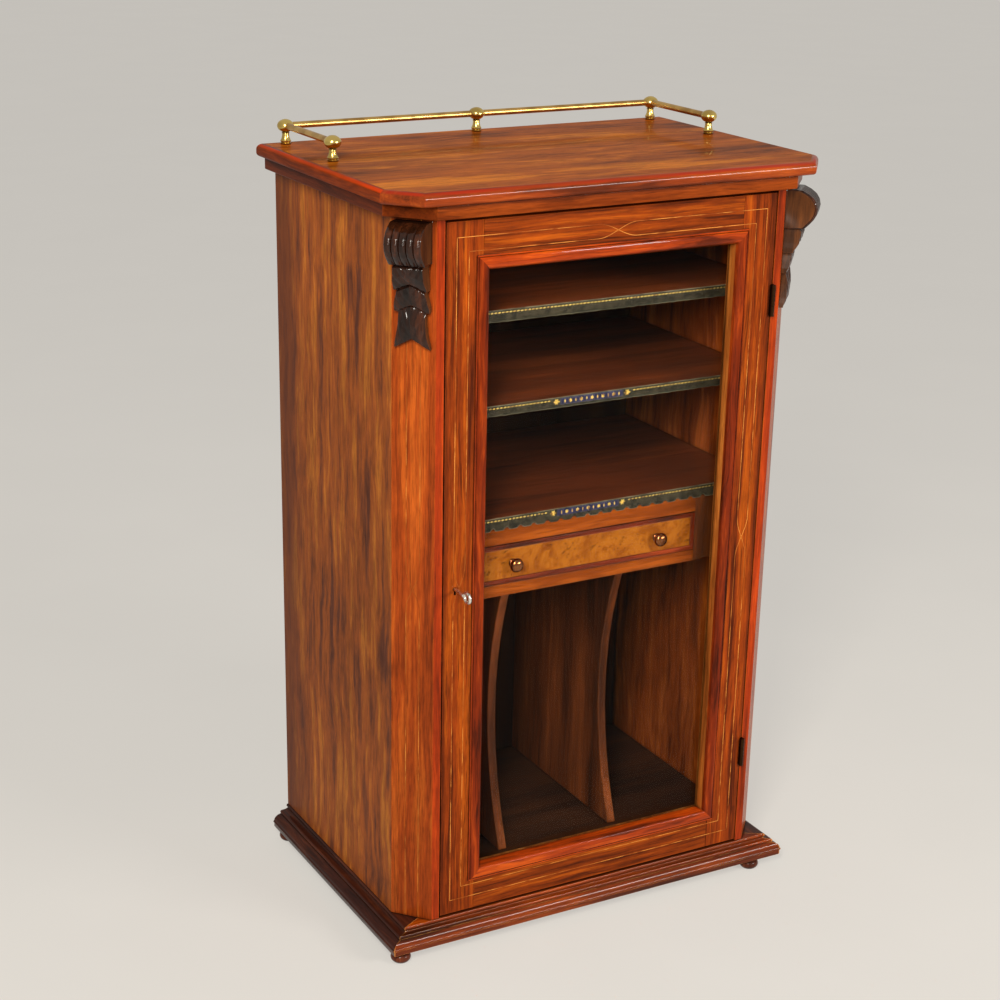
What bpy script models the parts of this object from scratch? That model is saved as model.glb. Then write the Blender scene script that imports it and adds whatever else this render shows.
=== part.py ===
"""Victorian sheet music cabinet: a glazed door over three shelves, a drawer and three music slots.

Metres, +Z up. The front faces -Y, and the origin is on the floor in the middle of the overall box.
Every wooden, brass, steel, leather and glass piece is its own solid.
"""
from math import cos, pi, radians, sin, sqrt

import bmesh
import bpy
from mathutils import Vector

# Carcass
CARCASS_WIDTH = 0.542
CARCASS_DEPTH = 0.368
CARCASS_HEIGHT = 0.879
CANT_WIDTH = 0.036
CANT_DEPTH = 0.040
FRONT_STRIP_WIDTH = 0.0105
SIDE_THICKNESS = 0.020
BOARD_THICKNESS = 0.018
BACK_THICKNESS = 0.010
BACK_RECESS = 0.002

# Fits and cuts
SEAT_GAP = 0.0003
CUT_OVERRUN = 0.002

# Cornice moulding and top slab
CORNICE_HEIGHT = 0.016
CORNICE_REACH = 0.0135
CORNICE_EASING = 0.0015
SLAB_HEIGHT = 0.016
SLAB_SIDE_REACH = 0.024
SLAB_FRONT_REACH = 0.022
SLAB_BACK_REACH = 0.0015
SLAB_CANT_WIDTH = 0.034
SLAB_CANT_DEPTH = 0.0415
SLAB_LOWER_ROUND = 0.0045
SLAB_UPPER_ROUND = 0.0075

# Plinth
PLINTH_HEIGHT = 0.031
PLINTH_FRONT_REACH = 0.0127
PLINTH_SIDE_REACH = 0.0227
PLINTH_FRONT_DEPTH = 0.026
PLINTH_BEAD_RADIUS = 0.0024
PLINTH_LOWER_BEAD_RADIUS = 0.0014
PLINTH_BASE_HEIGHT = 0.0068
PLINTH_MIDDLE_SHARE = 0.42

# Turned feet
FOOT_HEIGHT = 0.016
FOOT_RADIUS = 0.0128
FOOT_END_INSET = 0.0145
FOOT_LEFT_INSET = 0.017
FOOT_RIGHT_INSET = 0.042
FOOT_RADIUS_AND_RISE_SHARES = ((0, 0), (0.5, 0), (0.82, 0.14), (1, 0.42), (0.95, 0.64), (0.74, 0.82),
                               (0.66, 0.9), (0.76, 1), (0, 1))

# Carved corbels on the canted corners
CORBEL_HEIGHT = 0.144
CORBEL_WIDTH = 0.0435
CORBEL_REACH = 0.039
CORBEL_TOP_GAP = 0.0035
CORBEL_REED_DEPTH = 0.0014
CORBEL_REEDS = 5
CORBEL_COLUMNS_PER_REED = 4
CORBEL_NOTCH_DEPTH = 0.012
CORBEL_TAIL_START_SHARE = 0.78
CORBEL_DROP_REACH_WIDTH_SHARES = (
    (0, 0.49, 1), (0.028, 0.70, 1), (0.062, 0.86, 1), (0.104, 0.96, 1), (0.153, 1, 1), (0.20, 0.975, 1),
    (0.25, 0.885, 1), (0.30, 0.76, 1), (0.347, 0.62, 1), (0.351, 0.50, 0.82), (0.37, 0.575, 0.83),
    (0.42, 0.54, 0.86), (0.465, 0.45, 0.90), (0.508, 0.36, 0.91), (0.512, 0.27, 0.78), (0.53, 0.32, 0.79),
    (0.58, 0.31, 0.88), (0.64, 0.26, 0.97), (0.682, 0.21, 0.97), (0.687, 0.18, 0.76), (0.72, 0.21, 0.75),
    (0.78, 0.245, 0.76), (0.84, 0.26, 0.81), (0.90, 0.25, 0.88), (0.95, 0.23, 0.95), (1, 0.18, 1))

# Brass gallery
GALLERY_SIDE_INSET = 0.031
GALLERY_BACK_INSET = 0.0215
GALLERY_SIDE_LENGTH = 0.137
POST_BASE_RADIUS = 0.00625
POST_BASE_LIP = 0.001
POST_NECK_RADIUS = 0.0032
POST_NECK_RISE = 0.0125
POST_BALL_RADIUS = 0.01025
POST_BALL_HALF_HEIGHT = 0.008
POST_BALL_RISE = 0.022
GALLERY_RAIL_RADIUS = 0.0035
GALLERY_SOCKET_DEPTH = 0.005

# Shelves, housed in the sides, and their leather trims
FITTING_SETBACK = 0.006
SHELF_THICKNESS = 0.012
LOWER_SHELF_THICKNESS = 0.014
UPPER_SPACE_HEIGHT = 0.104
MIDDLE_SPACE_HEIGHT = 0.103
LOWER_SPACE_HEIGHT = 0.129
SHELF_HOUSING_DEPTH = 0.005
TRIM_THICKNESS = 0.0015
UPPER_TRIM_HEIGHT = 0.015
MIDDLE_TRIM_HEIGHT = 0.0135
LOWER_TRIM_HEIGHT = 0.017

# Drawer housing and slot dividers
LOWER_RAIL_HEIGHT = 0.015
UPPER_RAIL_HEIGHT = 0.0207
HOUSING_RAIL_DEPTH = 0.015
DRAWER_OPENING_HALF = 0.162
DRAWER_OPENING_HEIGHT = 0.052
CHEEK_WIDTH = 0.014
FILLER_SETBACK = 0.003
FILLER_THICKNESS = 0.010
DIVIDER_THICKNESS = 0.012
DIVIDER_FROM_MIDDLE = 0.084
DIVIDER_SETBACK = 0.044
DIVIDER_HOLLOW = 0.038
DIVIDER_STEPS = 12

# Drawer
DRAWER_GAP = 0.0008
DRAWER_BACK_ROOM = 0.0197
DRAWER_FRONT_THICKNESS = 0.014
DRAWER_SIDE_THICKNESS = 0.008
DRAWER_BOTTOM_THICKNESS = 0.004
DRAWER_BOTTOM_RISE = 0.002
DRAWER_SIDE_DROP = 0.004
COCKBEAD_WIDTH = 0.006
COCKBEAD_PROUD = 0.0014
KNOB_END_INSET = 0.0572
KNOB_RADIUS = 0.009
KNOB_NECK_RADIUS = 0.0042
KNOB_FOOT_RADIUS = 0.0058
KNOB_NECK_LENGTH = 0.0045
KNOB_REACH = 0.016

# Door
DOOR_THICKNESS = 0.022
DOOR_SIDE_GAP = 0.0016
DOOR_FLOOR_GAP = 0.003
DOOR_TOP_GAP = 0.005
DOOR_BACK_GAP = 0.002
STILE_WIDTH = 0.0469
RAIL_HEIGHT = 0.0485
SASH_LEG = 0.0085
SASH_COVER = 0.0085
SASH_DEPTH = 0.013
SASH_PROUD = 0.004
SASH_SIGHT_EASING = 0.0015
SASH_QUIRK_WIDTH = 0.002
SASH_QUIRK_PROUD = 0.001
GLASS_THICKNESS = 0.003
PANE_PLAY = 0.001

# Butt hinges
HINGE_LENGTH = 0.039
HINGE_FROM_DOOR_END = 0.131
KNUCKLE_RADIUS = 0.0028
HINGE_PIN_RADIUS = 0.0011
HINGE_PLATE_THICKNESS = 0.0012
HINGE_PLATE_REACH = 0.018

# Lock, bolt, its pocket and key
KEY_RISE = 0.439
KEY_BACKSET = 0.0155
LOCK_CASE_WIDTH = 0.030
LOCK_CASE_HEIGHT = 0.036
LOCK_CASE_DEPTH = 0.010
LOCK_CASE_LIFT = 0.004
LOCK_WALL = 0.0012
BOLT_LENGTH = 0.020
BOLT_HEIGHT = 0.010
BOLT_THICKNESS = 0.0044
BOLT_LIFT = 0.0095
BOLT_PLAY = 0.0004
BOLT_POCKET_DEPTH = 0.009
BOLT_POCKET_PLAY = 0.0008
KEY_BOW_DISTANCE = 0.032
KEY_BOW_RADIUS = 0.0066
KEY_WIRE_RADIUS = 0.0016
KEY_SHANK_RADIUS = 0.0017
KEY_COLLAR_RADIUS = 0.0026
KEY_COLLAR_LENGTH = 0.002
KEY_BIT_THICKNESS = 0.0016
KEY_BIT_DROP = 0.007
KEY_BIT_LENGTH = 0.0045
KEY_PLAY = 0.0006

# Facets
TURNING_SIDES = 24
ROD_SIDES = 16
ARC_STEPS = 5

# Places that several pieces share
KEY_REACH = KEY_BOW_DISTANCE + KEY_BOW_RADIUS + KEY_WIRE_RADIUS
BACK_Y = (CARCASS_DEPTH + KEY_REACH - SLAB_BACK_REACH) / 2
FRONT_Y = BACK_Y - CARCASS_DEPTH
HALF_WIDTH = CARCASS_WIDTH / 2
POST_BACK_Y = FRONT_Y + CANT_DEPTH
PLINTH_TOP_Z = FOOT_HEIGHT + PLINTH_HEIGHT
BASE_Z = PLINTH_TOP_Z + SEAT_GAP
CARCASS_TOP_Z = BASE_Z + CARCASS_HEIGHT
CORNICE_BASE_Z = CARCASS_TOP_Z + SEAT_GAP
SLAB_BASE_Z = CORNICE_BASE_Z + CORNICE_HEIGHT + SEAT_GAP
SLAB_TOP_Z = SLAB_BASE_Z + SLAB_HEIGHT
OPENING_HALF = HALF_WIDTH - CANT_WIDTH - FRONT_STRIP_WIDTH
FITTED_HALF = HALF_WIDTH - SIDE_THICKNESS - SEAT_GAP
BACK_PANEL_FRONT_Y = BACK_Y - BACK_RECESS - BACK_THICKNESS
FITTED_BACK_Y = BACK_PANEL_FRONT_Y - SEAT_GAP
FLOOR_Z = BASE_Z + BOARD_THICKNESS
FITTING_Y = POST_BACK_Y + FITTING_SETBACK
UPPER_SHELF_Z = CARCASS_TOP_Z - BOARD_THICKNESS - UPPER_SPACE_HEIGHT
MIDDLE_SHELF_Z = UPPER_SHELF_Z - SHELF_THICKNESS - MIDDLE_SPACE_HEIGHT
LOWER_SHELF_Z = MIDDLE_SHELF_Z - SHELF_THICKNESS - LOWER_SPACE_HEIGHT
HOUSING_TOP_Z = LOWER_SHELF_Z - LOWER_SHELF_THICKNESS - SEAT_GAP
DRAWER_CEILING_Z = HOUSING_TOP_Z - UPPER_RAIL_HEIGHT
DRAWER_FLOOR_Z = DRAWER_CEILING_Z - DRAWER_OPENING_HEIGHT
HOUSING_BASE_Z = DRAWER_FLOOR_Z - LOWER_RAIL_HEIGHT
DOOR_HALF = OPENING_HALF - DOOR_SIDE_GAP
DOOR_BACK_Y = FRONT_Y + DOOR_THICKNESS
DOOR_BASE_Z = BASE_Z + DOOR_FLOOR_GAP
DOOR_TOP_Z = CARCASS_TOP_Z - DOOR_TOP_GAP
STILE_INNER = DOOR_HALF - STILE_WIDTH
HINGE_X = OPENING_HALF - DOOR_SIDE_GAP / 2
HINGE_Y = FRONT_Y - KNUCKLE_RADIUS - SEAT_GAP
HINGE_HEIGHTS = (DOOR_BASE_Z + HINGE_FROM_DOOR_END, DOOR_TOP_Z - HINGE_FROM_DOOR_END)
LOCK_X = KEY_BACKSET - DOOR_HALF
LOCK_Z = BASE_Z + KEY_RISE
BOLT_Y = DOOR_BACK_Y - LOCK_CASE_DEPTH / 2
BOLT_Z = LOCK_Z + BOLT_LIFT
SHELVES = (("upper", UPPER_SHELF_Z, SHELF_THICKNESS, UPPER_TRIM_HEIGHT),
           ("middle", MIDDLE_SHELF_Z, SHELF_THICKNESS, MIDDLE_TRIM_HEIGHT),
           ("lower", LOWER_SHELF_Z, LOWER_SHELF_THICKNESS, LOWER_TRIM_HEIGHT))
SIDES = (("left", -1), ("right", 1))


def finish(name, colour, roughness, metallic=0.0):
    """Principled material with a piece's colour, roughness and metallic value."""
    material = bpy.data.materials.new(name)
    material.use_nodes = True
    shader = material.node_tree.nodes["Principled BSDF"]
    shader.inputs["Base Color"].default_value = (*colour, 1)
    shader.inputs["Roughness"].default_value = roughness
    shader.inputs["Metallic"].default_value = metallic
    material.diffuse_color = (*colour, 1)
    return material


def axis_empty(name, place, parent=None):
    """Empty on a joint's axis, which carries the pieces that move there."""
    empty = bpy.data.objects.new(name, None)
    empty.parent = parent
    empty.location = Vector(place) - (parent.matrix_world.translation if parent else Vector())
    bpy.context.collection.objects.link(empty)
    bpy.context.view_layer.update()
    return empty


def add_piece(name, bm, colour, roughness, metallic=0.0, parent=None):
    """Make a named object, with its own material, from faces drawn in world places."""
    place = parent.matrix_world.translation if parent else Vector()
    bmesh.ops.recalc_face_normals(bm, faces=bm.faces)
    bmesh.ops.translate(bm, verts=bm.verts, vec=-place)
    mesh = bpy.data.meshes.new(name)
    bm.to_mesh(mesh)
    bm.free()
    mesh.materials.append(finish(name, colour, roughness, metallic))
    piece = bpy.data.objects.new(name, mesh)
    piece.parent = parent
    bpy.context.collection.objects.link(piece)
    bpy.context.view_layer.update()
    return piece


def shade_round(piece):
    """Smooth the shading across curves and keep the corners crisp."""
    piece.data.shade_smooth()
    piece.data.set_sharp_from_angle(angle=radians(35))


def combine(piece, other_bm, operation):
    """Cut a closed shape out of a piece (DIFFERENCE) or fuse it on (UNION)."""
    place = piece.matrix_world.translation
    bmesh.ops.recalc_face_normals(other_bm, faces=other_bm.faces)
    bmesh.ops.translate(other_bm, verts=other_bm.verts, vec=-place)
    mesh = bpy.data.meshes.new("cutter")
    other_bm.to_mesh(mesh)
    other_bm.free()
    cutter = bpy.data.objects.new("cutter", mesh)
    cutter.location = place
    cutter.hide_render = True
    cutter.display_type = "WIRE"
    bpy.context.collection.objects.link(cutter)
    modifier = piece.modifiers.new("combine", "BOOLEAN")
    modifier.operation = operation
    modifier.solver = "EXACT"
    modifier.object = cutter
    bpy.context.view_layer.update()
    shaped = piece.evaluated_get(bpy.context.evaluated_depsgraph_get())
    piece.modifiers.clear()
    piece.data = bpy.data.meshes.new_from_object(shaped)
    bpy.data.objects.remove(cutter, do_unlink=True)


def box(bm, low, high):
    """Closed rectangular block between two corners, given in either order."""
    spans = [sorted(pair) for pair in zip(low, high)]
    corners = [bm.verts.new((x, y, z)) for x in spans[0] for y in spans[1] for z in spans[2]]
    for quad in ((0, 1, 3, 2), (4, 6, 7, 5), (0, 4, 5, 1), (2, 3, 7, 6), (0, 2, 6, 4), (1, 5, 7, 3)):
        bm.faces.new([corners[i] for i in quad])


def loft(bm, rings):
    """Closed body through rings of equal count, capped at both ends."""
    loops = [[bm.verts.new(point) for point in ring] for ring in rings]
    for first, second in zip(loops, loops[1:]):
        for i in range(len(first)):
            j = (i + 1) % len(first)
            bm.faces.new((first[i], first[j], second[j], second[i]))
    bm.faces.new(loops[0])
    bm.faces.new(loops[-1])


def plan_prism(bm, plan, low, high):
    """Closed prism that raises a plan (x, y) from one height to another."""
    loft(bm, [[(x, y, z) for x, y in plan] for z in (low, high)])


def profile_prism(bm, profile, left, right):
    """Closed prism that carries a side profile (y, z) from one x to another."""
    loft(bm, [[(x, y, z) for y, z in profile] for x in (left, right)])


def turned(bm, profile, centre, axis, sides):
    """Closed turned body: the profile is (radius, distance along the axis), pole to pole."""
    direction = Vector(axis).normalized()
    first = direction.orthogonal().normalized()
    second = direction.cross(first)
    rings = []
    for radius, distance in profile:
        middle = Vector(centre) + direction * distance
        if radius == 0:
            rings.append([bm.verts.new(middle)])
            continue
        turns = [2 * pi * i / sides for i in range(sides)]
        rings.append([bm.verts.new(middle + radius * (first * cos(t) + second * sin(t))) for t in turns])
    for lower, upper in zip(rings, rings[1:]):
        for i in range(sides):
            j = (i + 1) % sides
            if len(lower) == 1:
                bm.faces.new((lower[0], upper[j], upper[i]))
            elif len(upper) == 1:
                bm.faces.new((lower[i], lower[j], upper[0]))
            else:
                bm.faces.new((lower[i], lower[j], upper[j], upper[i]))


def rod(bm, radius, start, end, sides=ROD_SIDES):
    """Plain round rod between two points."""
    along = Vector(end) - Vector(start)
    turned(bm, ((0, 0), (radius, 0), (radius, along.length), (0, along.length)), start, along, sides)


def arc(centre, radii, start, end):
    """Points on an ellipse about a centre, between two angles in degrees."""
    turns = [radians(start + (end - start) * i / ARC_STEPS) for i in range(ARC_STEPS + 1)]
    return [(centre[0] + radii[0] * cos(t), centre[1] + radii[1] * sin(t)) for t in turns]


def offset_plan(plan, distances):
    """Move each edge of a plan outwards by its own distance and return the new corners."""
    corners = []
    for i, corner in enumerate(plan):
        before = (Vector(corner) - Vector(plan[i - 1])).normalized()
        after = (Vector(plan[(i + 1) % len(plan)]) - Vector(corner)).normalized()
        shift = before * distances[i] - after * distances[i - 1]
        corners.append(Vector(corner) + shift / before.cross(after))
    return corners


def moulded_slab(bm, plan, base_z, insets_and_rises):
    """Slab whose sides and front follow an (inset, rise) profile, with a straight back."""
    rings = []
    for inset, rise in insets_and_rises:
        ring = offset_plan(plan, [-inset] * (len(plan) - 1) + [0])
        rings.append([(x, y, base_z + rise) for x, y in ring])
    loft(bm, rings)


def canted_plan(half, front, back, cant_width, cant_depth):
    """Plan with both front corners cut off, anticlockwise from the back left corner."""
    return [(-half, back), (-half, front + cant_depth), (-half + cant_width, front),
            (half - cant_width, front), (half, front + cant_depth), (half, back)]


def framed(bm, section, half, low, high, front):
    """Closed moulding round a frame: the section is (out from the sight line, towards the front)."""
    loops = []
    corners = ((-half, low, -1, -1), (half, low, 1, -1), (half, high, 1, 1), (-half, high, -1, 1))
    for x, z, out_x, out_z in corners:
        loops.append([bm.verts.new((x + out * out_x, front - up, z + out * out_z)) for out, up in section])
    for k, loop in enumerate(loops):
        following = loops[(k + 1) % len(loops)]
        for i in range(len(section)):
            j = (i + 1) % len(section)
            bm.faces.new((loop[i], loop[j], following[j], following[i]))


def make_carcass():
    """Sides, canted corner posts, floor, sub-top and back."""
    for name, side in SIDES:
        bm = bmesh.new()
        box(bm, (side * (HALF_WIDTH - SIDE_THICKNESS), POST_BACK_Y + SEAT_GAP, BASE_Z),
            (side * HALF_WIDTH, BACK_Y, CARCASS_TOP_Z))
        panel = add_piece(f"side_{name}", bm, (0.36, 0.15, 0.04), 0.32)
        groove_x = side * (FITTED_HALF + SHELF_HOUSING_DEPTH + SEAT_GAP)
        for _, top, thickness, _ in SHELVES:
            bm = bmesh.new()
            box(bm, (side * (FITTED_HALF - CUT_OVERRUN), FITTING_Y - SEAT_GAP, top - thickness - SEAT_GAP),
                (groove_x, FITTED_BACK_Y + SEAT_GAP, top + SEAT_GAP))
            combine(panel, bm, "DIFFERENCE")
        bm = bmesh.new()
        plan = ((HALF_WIDTH, POST_BACK_Y), (HALF_WIDTH - CANT_WIDTH, FRONT_Y), (OPENING_HALF, FRONT_Y),
                (OPENING_HALF, POST_BACK_Y))
        plan_prism(bm, [(side * x, y) for x, y in plan], BASE_Z, CARCASS_TOP_Z)
        post = add_piece(f"corner_post_{name}", bm, (0.42, 0.12, 0.025), 0.28)
        if name == "right":
            cut_hinge_seats(post, OPENING_HALF, OPENING_HALF + HINGE_PLATE_THICKNESS + SEAT_GAP)
        else:
            bm = bmesh.new()
            half_y = BOLT_THICKNESS / 2 + BOLT_POCKET_PLAY
            half_z = BOLT_HEIGHT / 2 + BOLT_POCKET_PLAY
            box(bm, (-OPENING_HALF - BOLT_POCKET_DEPTH, BOLT_Y - half_y, BOLT_Z - half_z),
                (CUT_OVERRUN - OPENING_HALF, BOLT_Y + half_y, BOLT_Z + half_z))
            combine(post, bm, "DIFFERENCE")
    half = OPENING_HALF - SEAT_GAP
    front = DOOR_BACK_Y + DOOR_BACK_GAP
    shoulder = POST_BACK_Y + SEAT_GAP
    plan = ((-FITTED_HALF, FITTED_BACK_Y), (-FITTED_HALF, shoulder), (-half, shoulder), (-half, front),
            (half, front), (half, shoulder), (FITTED_HALF, shoulder), (FITTED_HALF, FITTED_BACK_Y))
    for name, low in (("bottom_board", BASE_Z), ("sub_top_board", CARCASS_TOP_Z - BOARD_THICKNESS)):
        bm = bmesh.new()
        plan_prism(bm, plan, low, low + BOARD_THICKNESS)
        add_piece(name, bm, (0.16, 0.06, 0.02), 0.5)
    bm = bmesh.new()
    box(bm, (-FITTED_HALF, BACK_PANEL_FRONT_Y, BASE_Z), (FITTED_HALF, BACK_Y - BACK_RECESS, CARCASS_TOP_Z))
    add_piece("back_panel", bm, (0.08, 0.03, 0.015), 0.6)


def make_cornice():
    """Canted fascia moulding and the round-edged top slab over it."""
    carcass_plan = canted_plan(HALF_WIDTH, FRONT_Y, BACK_Y, CANT_WIDTH, CANT_DEPTH)
    plan = offset_plan(carcass_plan, [CORNICE_REACH] * (len(carcass_plan) - 1) + [0])
    profile = ((CORNICE_EASING, 0), (0, CORNICE_EASING), (0, CORNICE_HEIGHT - CORNICE_EASING),
               (CORNICE_EASING, CORNICE_HEIGHT))
    bm = bmesh.new()
    moulded_slab(bm, plan, CORNICE_BASE_Z, profile)
    add_piece("cornice_moulding", bm, (0.20, 0.045, 0.015), 0.25)
    plan = canted_plan(HALF_WIDTH + SLAB_SIDE_REACH, FRONT_Y - SLAB_FRONT_REACH, BACK_Y + SLAB_BACK_REACH,
                       SLAB_CANT_WIDTH, SLAB_CANT_DEPTH)
    lower = arc((SLAB_LOWER_ROUND, SLAB_LOWER_ROUND), (-SLAB_LOWER_ROUND, SLAB_LOWER_ROUND), -90, 0)
    upper_centre = (SLAB_UPPER_ROUND, SLAB_HEIGHT - SLAB_UPPER_ROUND)
    upper = arc(upper_centre, (-SLAB_UPPER_ROUND, SLAB_UPPER_ROUND), 0, 90)
    bm = bmesh.new()
    moulded_slab(bm, plan, SLAB_BASE_Z, lower + upper)
    shade_round(add_piece("top_slab", bm, (0.30, 0.09, 0.022), 0.2))


def plinth_section():
    """Plinth moulding as (share of its reach, rise): three beads, a cove, an ovolo and a square base."""
    bead_shares = (PLINTH_BEAD_RADIUS / PLINTH_SIDE_REACH, PLINTH_LOWER_BEAD_RADIUS / PLINTH_SIDE_REACH)
    middle_rise = -PLINTH_MIDDLE_SHARE * (PLINTH_HEIGHT - PLINTH_BASE_HEIGHT)
    cove_foot = middle_rise + PLINTH_BEAD_RADIUS
    cove_top = -2 * PLINTH_BEAD_RADIUS
    lower_middle = PLINTH_BASE_HEIGHT + PLINTH_LOWER_BEAD_RADIUS - PLINTH_HEIGHT
    ovolo_top = middle_rise - PLINTH_BEAD_RADIUS
    ovolo_foot = lower_middle + PLINTH_LOWER_BEAD_RADIUS
    middle_share = PLINTH_MIDDLE_SHARE
    lower_share = 1 - bead_shares[1]
    points = arc((0, -PLINTH_BEAD_RADIUS), (bead_shares[0], PLINTH_BEAD_RADIUS), 90, -60)
    points += arc((middle_share, cove_top), (-middle_share, cove_foot - cove_top), 25, 85)
    points += arc((middle_share, middle_rise), (bead_shares[0], PLINTH_BEAD_RADIUS), 75, -60)
    points += arc((middle_share, ovolo_foot), (lower_share - middle_share, ovolo_top - ovolo_foot), 70, 5)
    points += arc((lower_share, lower_middle), (bead_shares[1], PLINTH_LOWER_BEAD_RADIUS), 75, -75)
    points += [(lower_share, PLINTH_BASE_HEIGHT - PLINTH_HEIGHT), (lower_share, -PLINTH_HEIGHT)]
    inner_share = -PLINTH_FRONT_DEPTH / PLINTH_FRONT_REACH
    return [(inner_share, 0)] + points + [(inner_share, -PLINTH_HEIGHT)]


def plinth_point(side, out_share, rise, shift):
    """Point of the plinth's front corner, whose mitre runs from the carcass corner outwards."""
    x = HALF_WIDTH + out_share * PLINTH_SIDE_REACH + shift[0]
    return (side * x, FRONT_Y - out_share * PLINTH_FRONT_REACH + shift[1], PLINTH_TOP_Z + rise)


def make_plinth():
    """Mitred plinth frame that spreads towards its foot, with a plain member across the back."""
    section = plinth_section()
    bm = bmesh.new()
    loft(bm, [[plinth_point(side, out, rise, (-SEAT_GAP, 0)) for out, rise in section] for _, side in SIDES])
    shade_round(add_piece("plinth_front", bm, (0.30, 0.06, 0.02), 0.22))
    for name, side in SIDES:
        bm = bmesh.new()
        front = [plinth_point(side, out, rise, (0, SEAT_GAP)) for out, rise in section]
        loft(bm, (front, [(x, BACK_Y, z) for x, _, z in front]))
        shade_round(add_piece(f"plinth_{name}", bm, (0.10, 0.025, 0.012), 0.25))
    half = HALF_WIDTH - PLINTH_FRONT_DEPTH / PLINTH_FRONT_REACH * PLINTH_SIDE_REACH - SEAT_GAP
    bm = bmesh.new()
    box(bm, (-half, BACK_Y - PLINTH_FRONT_DEPTH, FOOT_HEIGHT), (half, BACK_Y, PLINTH_TOP_Z))
    add_piece("plinth_back", bm, (0.10, 0.03, 0.015), 0.5)


def make_feet():
    """Small turned bun feet under the plinth's corners, the right ones set further in."""
    plinth_half = HALF_WIDTH + PLINTH_SIDE_REACH
    profile = [(radius * FOOT_RADIUS, rise * (FOOT_HEIGHT - SEAT_GAP))
               for radius, rise in FOOT_RADIUS_AND_RISE_SHARES]
    for side_name, x in (("left", FOOT_LEFT_INSET - plinth_half), ("right", plinth_half - FOOT_RIGHT_INSET)):
        for end_name, y in (("front", FRONT_Y - PLINTH_FRONT_REACH + FOOT_END_INSET),
                            ("back", BACK_Y - FOOT_END_INSET)):
            bm = bmesh.new()
            turned(bm, profile, (x, y, 0), (0, 0, 1), TURNING_SIDES)
            shade_round(add_piece(f"foot_{end_name}_{side_name}", bm, (0.09, 0.03, 0.015), 0.3))


def corbel_point(side, across, out, drop):
    """World place of a corbel point, measured from the middle of its canted face."""
    face = sqrt(CANT_WIDTH ** 2 + CANT_DEPTH ** 2)
    along_x, along_y = CANT_WIDTH / face, CANT_DEPTH / face
    x = HALF_WIDTH - CANT_WIDTH / 2 + across * along_x + out * along_y
    y = FRONT_Y + CANT_DEPTH / 2 + across * along_y - out * along_x
    return Vector((side * x, y, CARCASS_TOP_Z - CORBEL_TOP_GAP - drop))


def corbel_grid(side):
    """Rows of front points, and rows of the points behind them on the canted face."""
    columns = CORBEL_REEDS * CORBEL_COLUMNS_PER_REED
    tail_start = CORBEL_TAIL_START_SHARE * CORBEL_HEIGHT
    front = []
    back = []
    for drop_share, reach_share, width_share in CORBEL_DROP_REACH_WIDTH_SHARES:
        front.append([])
        back.append([])
        for column in range(columns + 1):
            across_share = 2 * column / columns - 1
            drop = drop_share * CORBEL_HEIGHT
            if drop > tail_start:
                bottom = CORBEL_HEIGHT - CORBEL_NOTCH_DEPTH * (1 - abs(across_share))
                drop = tail_start + (drop - tail_start) * (bottom - tail_start) / (CORBEL_HEIGHT - tail_start)
            groove = CORBEL_REED_DEPTH * (1 + cos(2 * pi * column / CORBEL_COLUMNS_PER_REED)) / 2
            across = across_share * width_share * CORBEL_WIDTH / 2
            front[-1].append(corbel_point(side, across, reach_share * CORBEL_REACH - groove, drop))
            back[-1].append(corbel_point(side, across, SEAT_GAP, drop))
    return front, back


def make_corbels():
    """Reeded scroll brackets, carved in tiers that run down to a notched tail."""
    for name, side in SIDES:
        front_points, back_points = corbel_grid(side)
        last_row = len(front_points) - 1
        last_column = len(front_points[0]) - 1
        bm = bmesh.new()
        front = [[bm.verts.new(point) for point in row] for row in front_points]
        for upper, lower in zip(front, front[1:]):
            for i in range(last_column):
                bm.faces.new((upper[i], upper[i + 1], lower[i + 1], lower[i]))
        rim = [(0, i) for i in range(last_column)]
        rim += [(row, last_column) for row in range(last_row)]
        rim += [(last_row, i) for i in range(last_column, 0, -1)]
        rim += [(row, 0) for row in range(last_row, 0, -1)]
        back = [bm.verts.new(back_points[row][i]) for row, i in rim]
        bm.faces.new(back)
        for k, (row, i) in enumerate(rim):
            next_row, j = rim[(k + 1) % len(rim)]
            bm.faces.new((front[row][i], front[next_row][j], back[(k + 1) % len(rim)], back[k]))
        shade_round(add_piece(f"corbel_{name}", bm, (0.045, 0.018, 0.010), 0.25))


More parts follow.
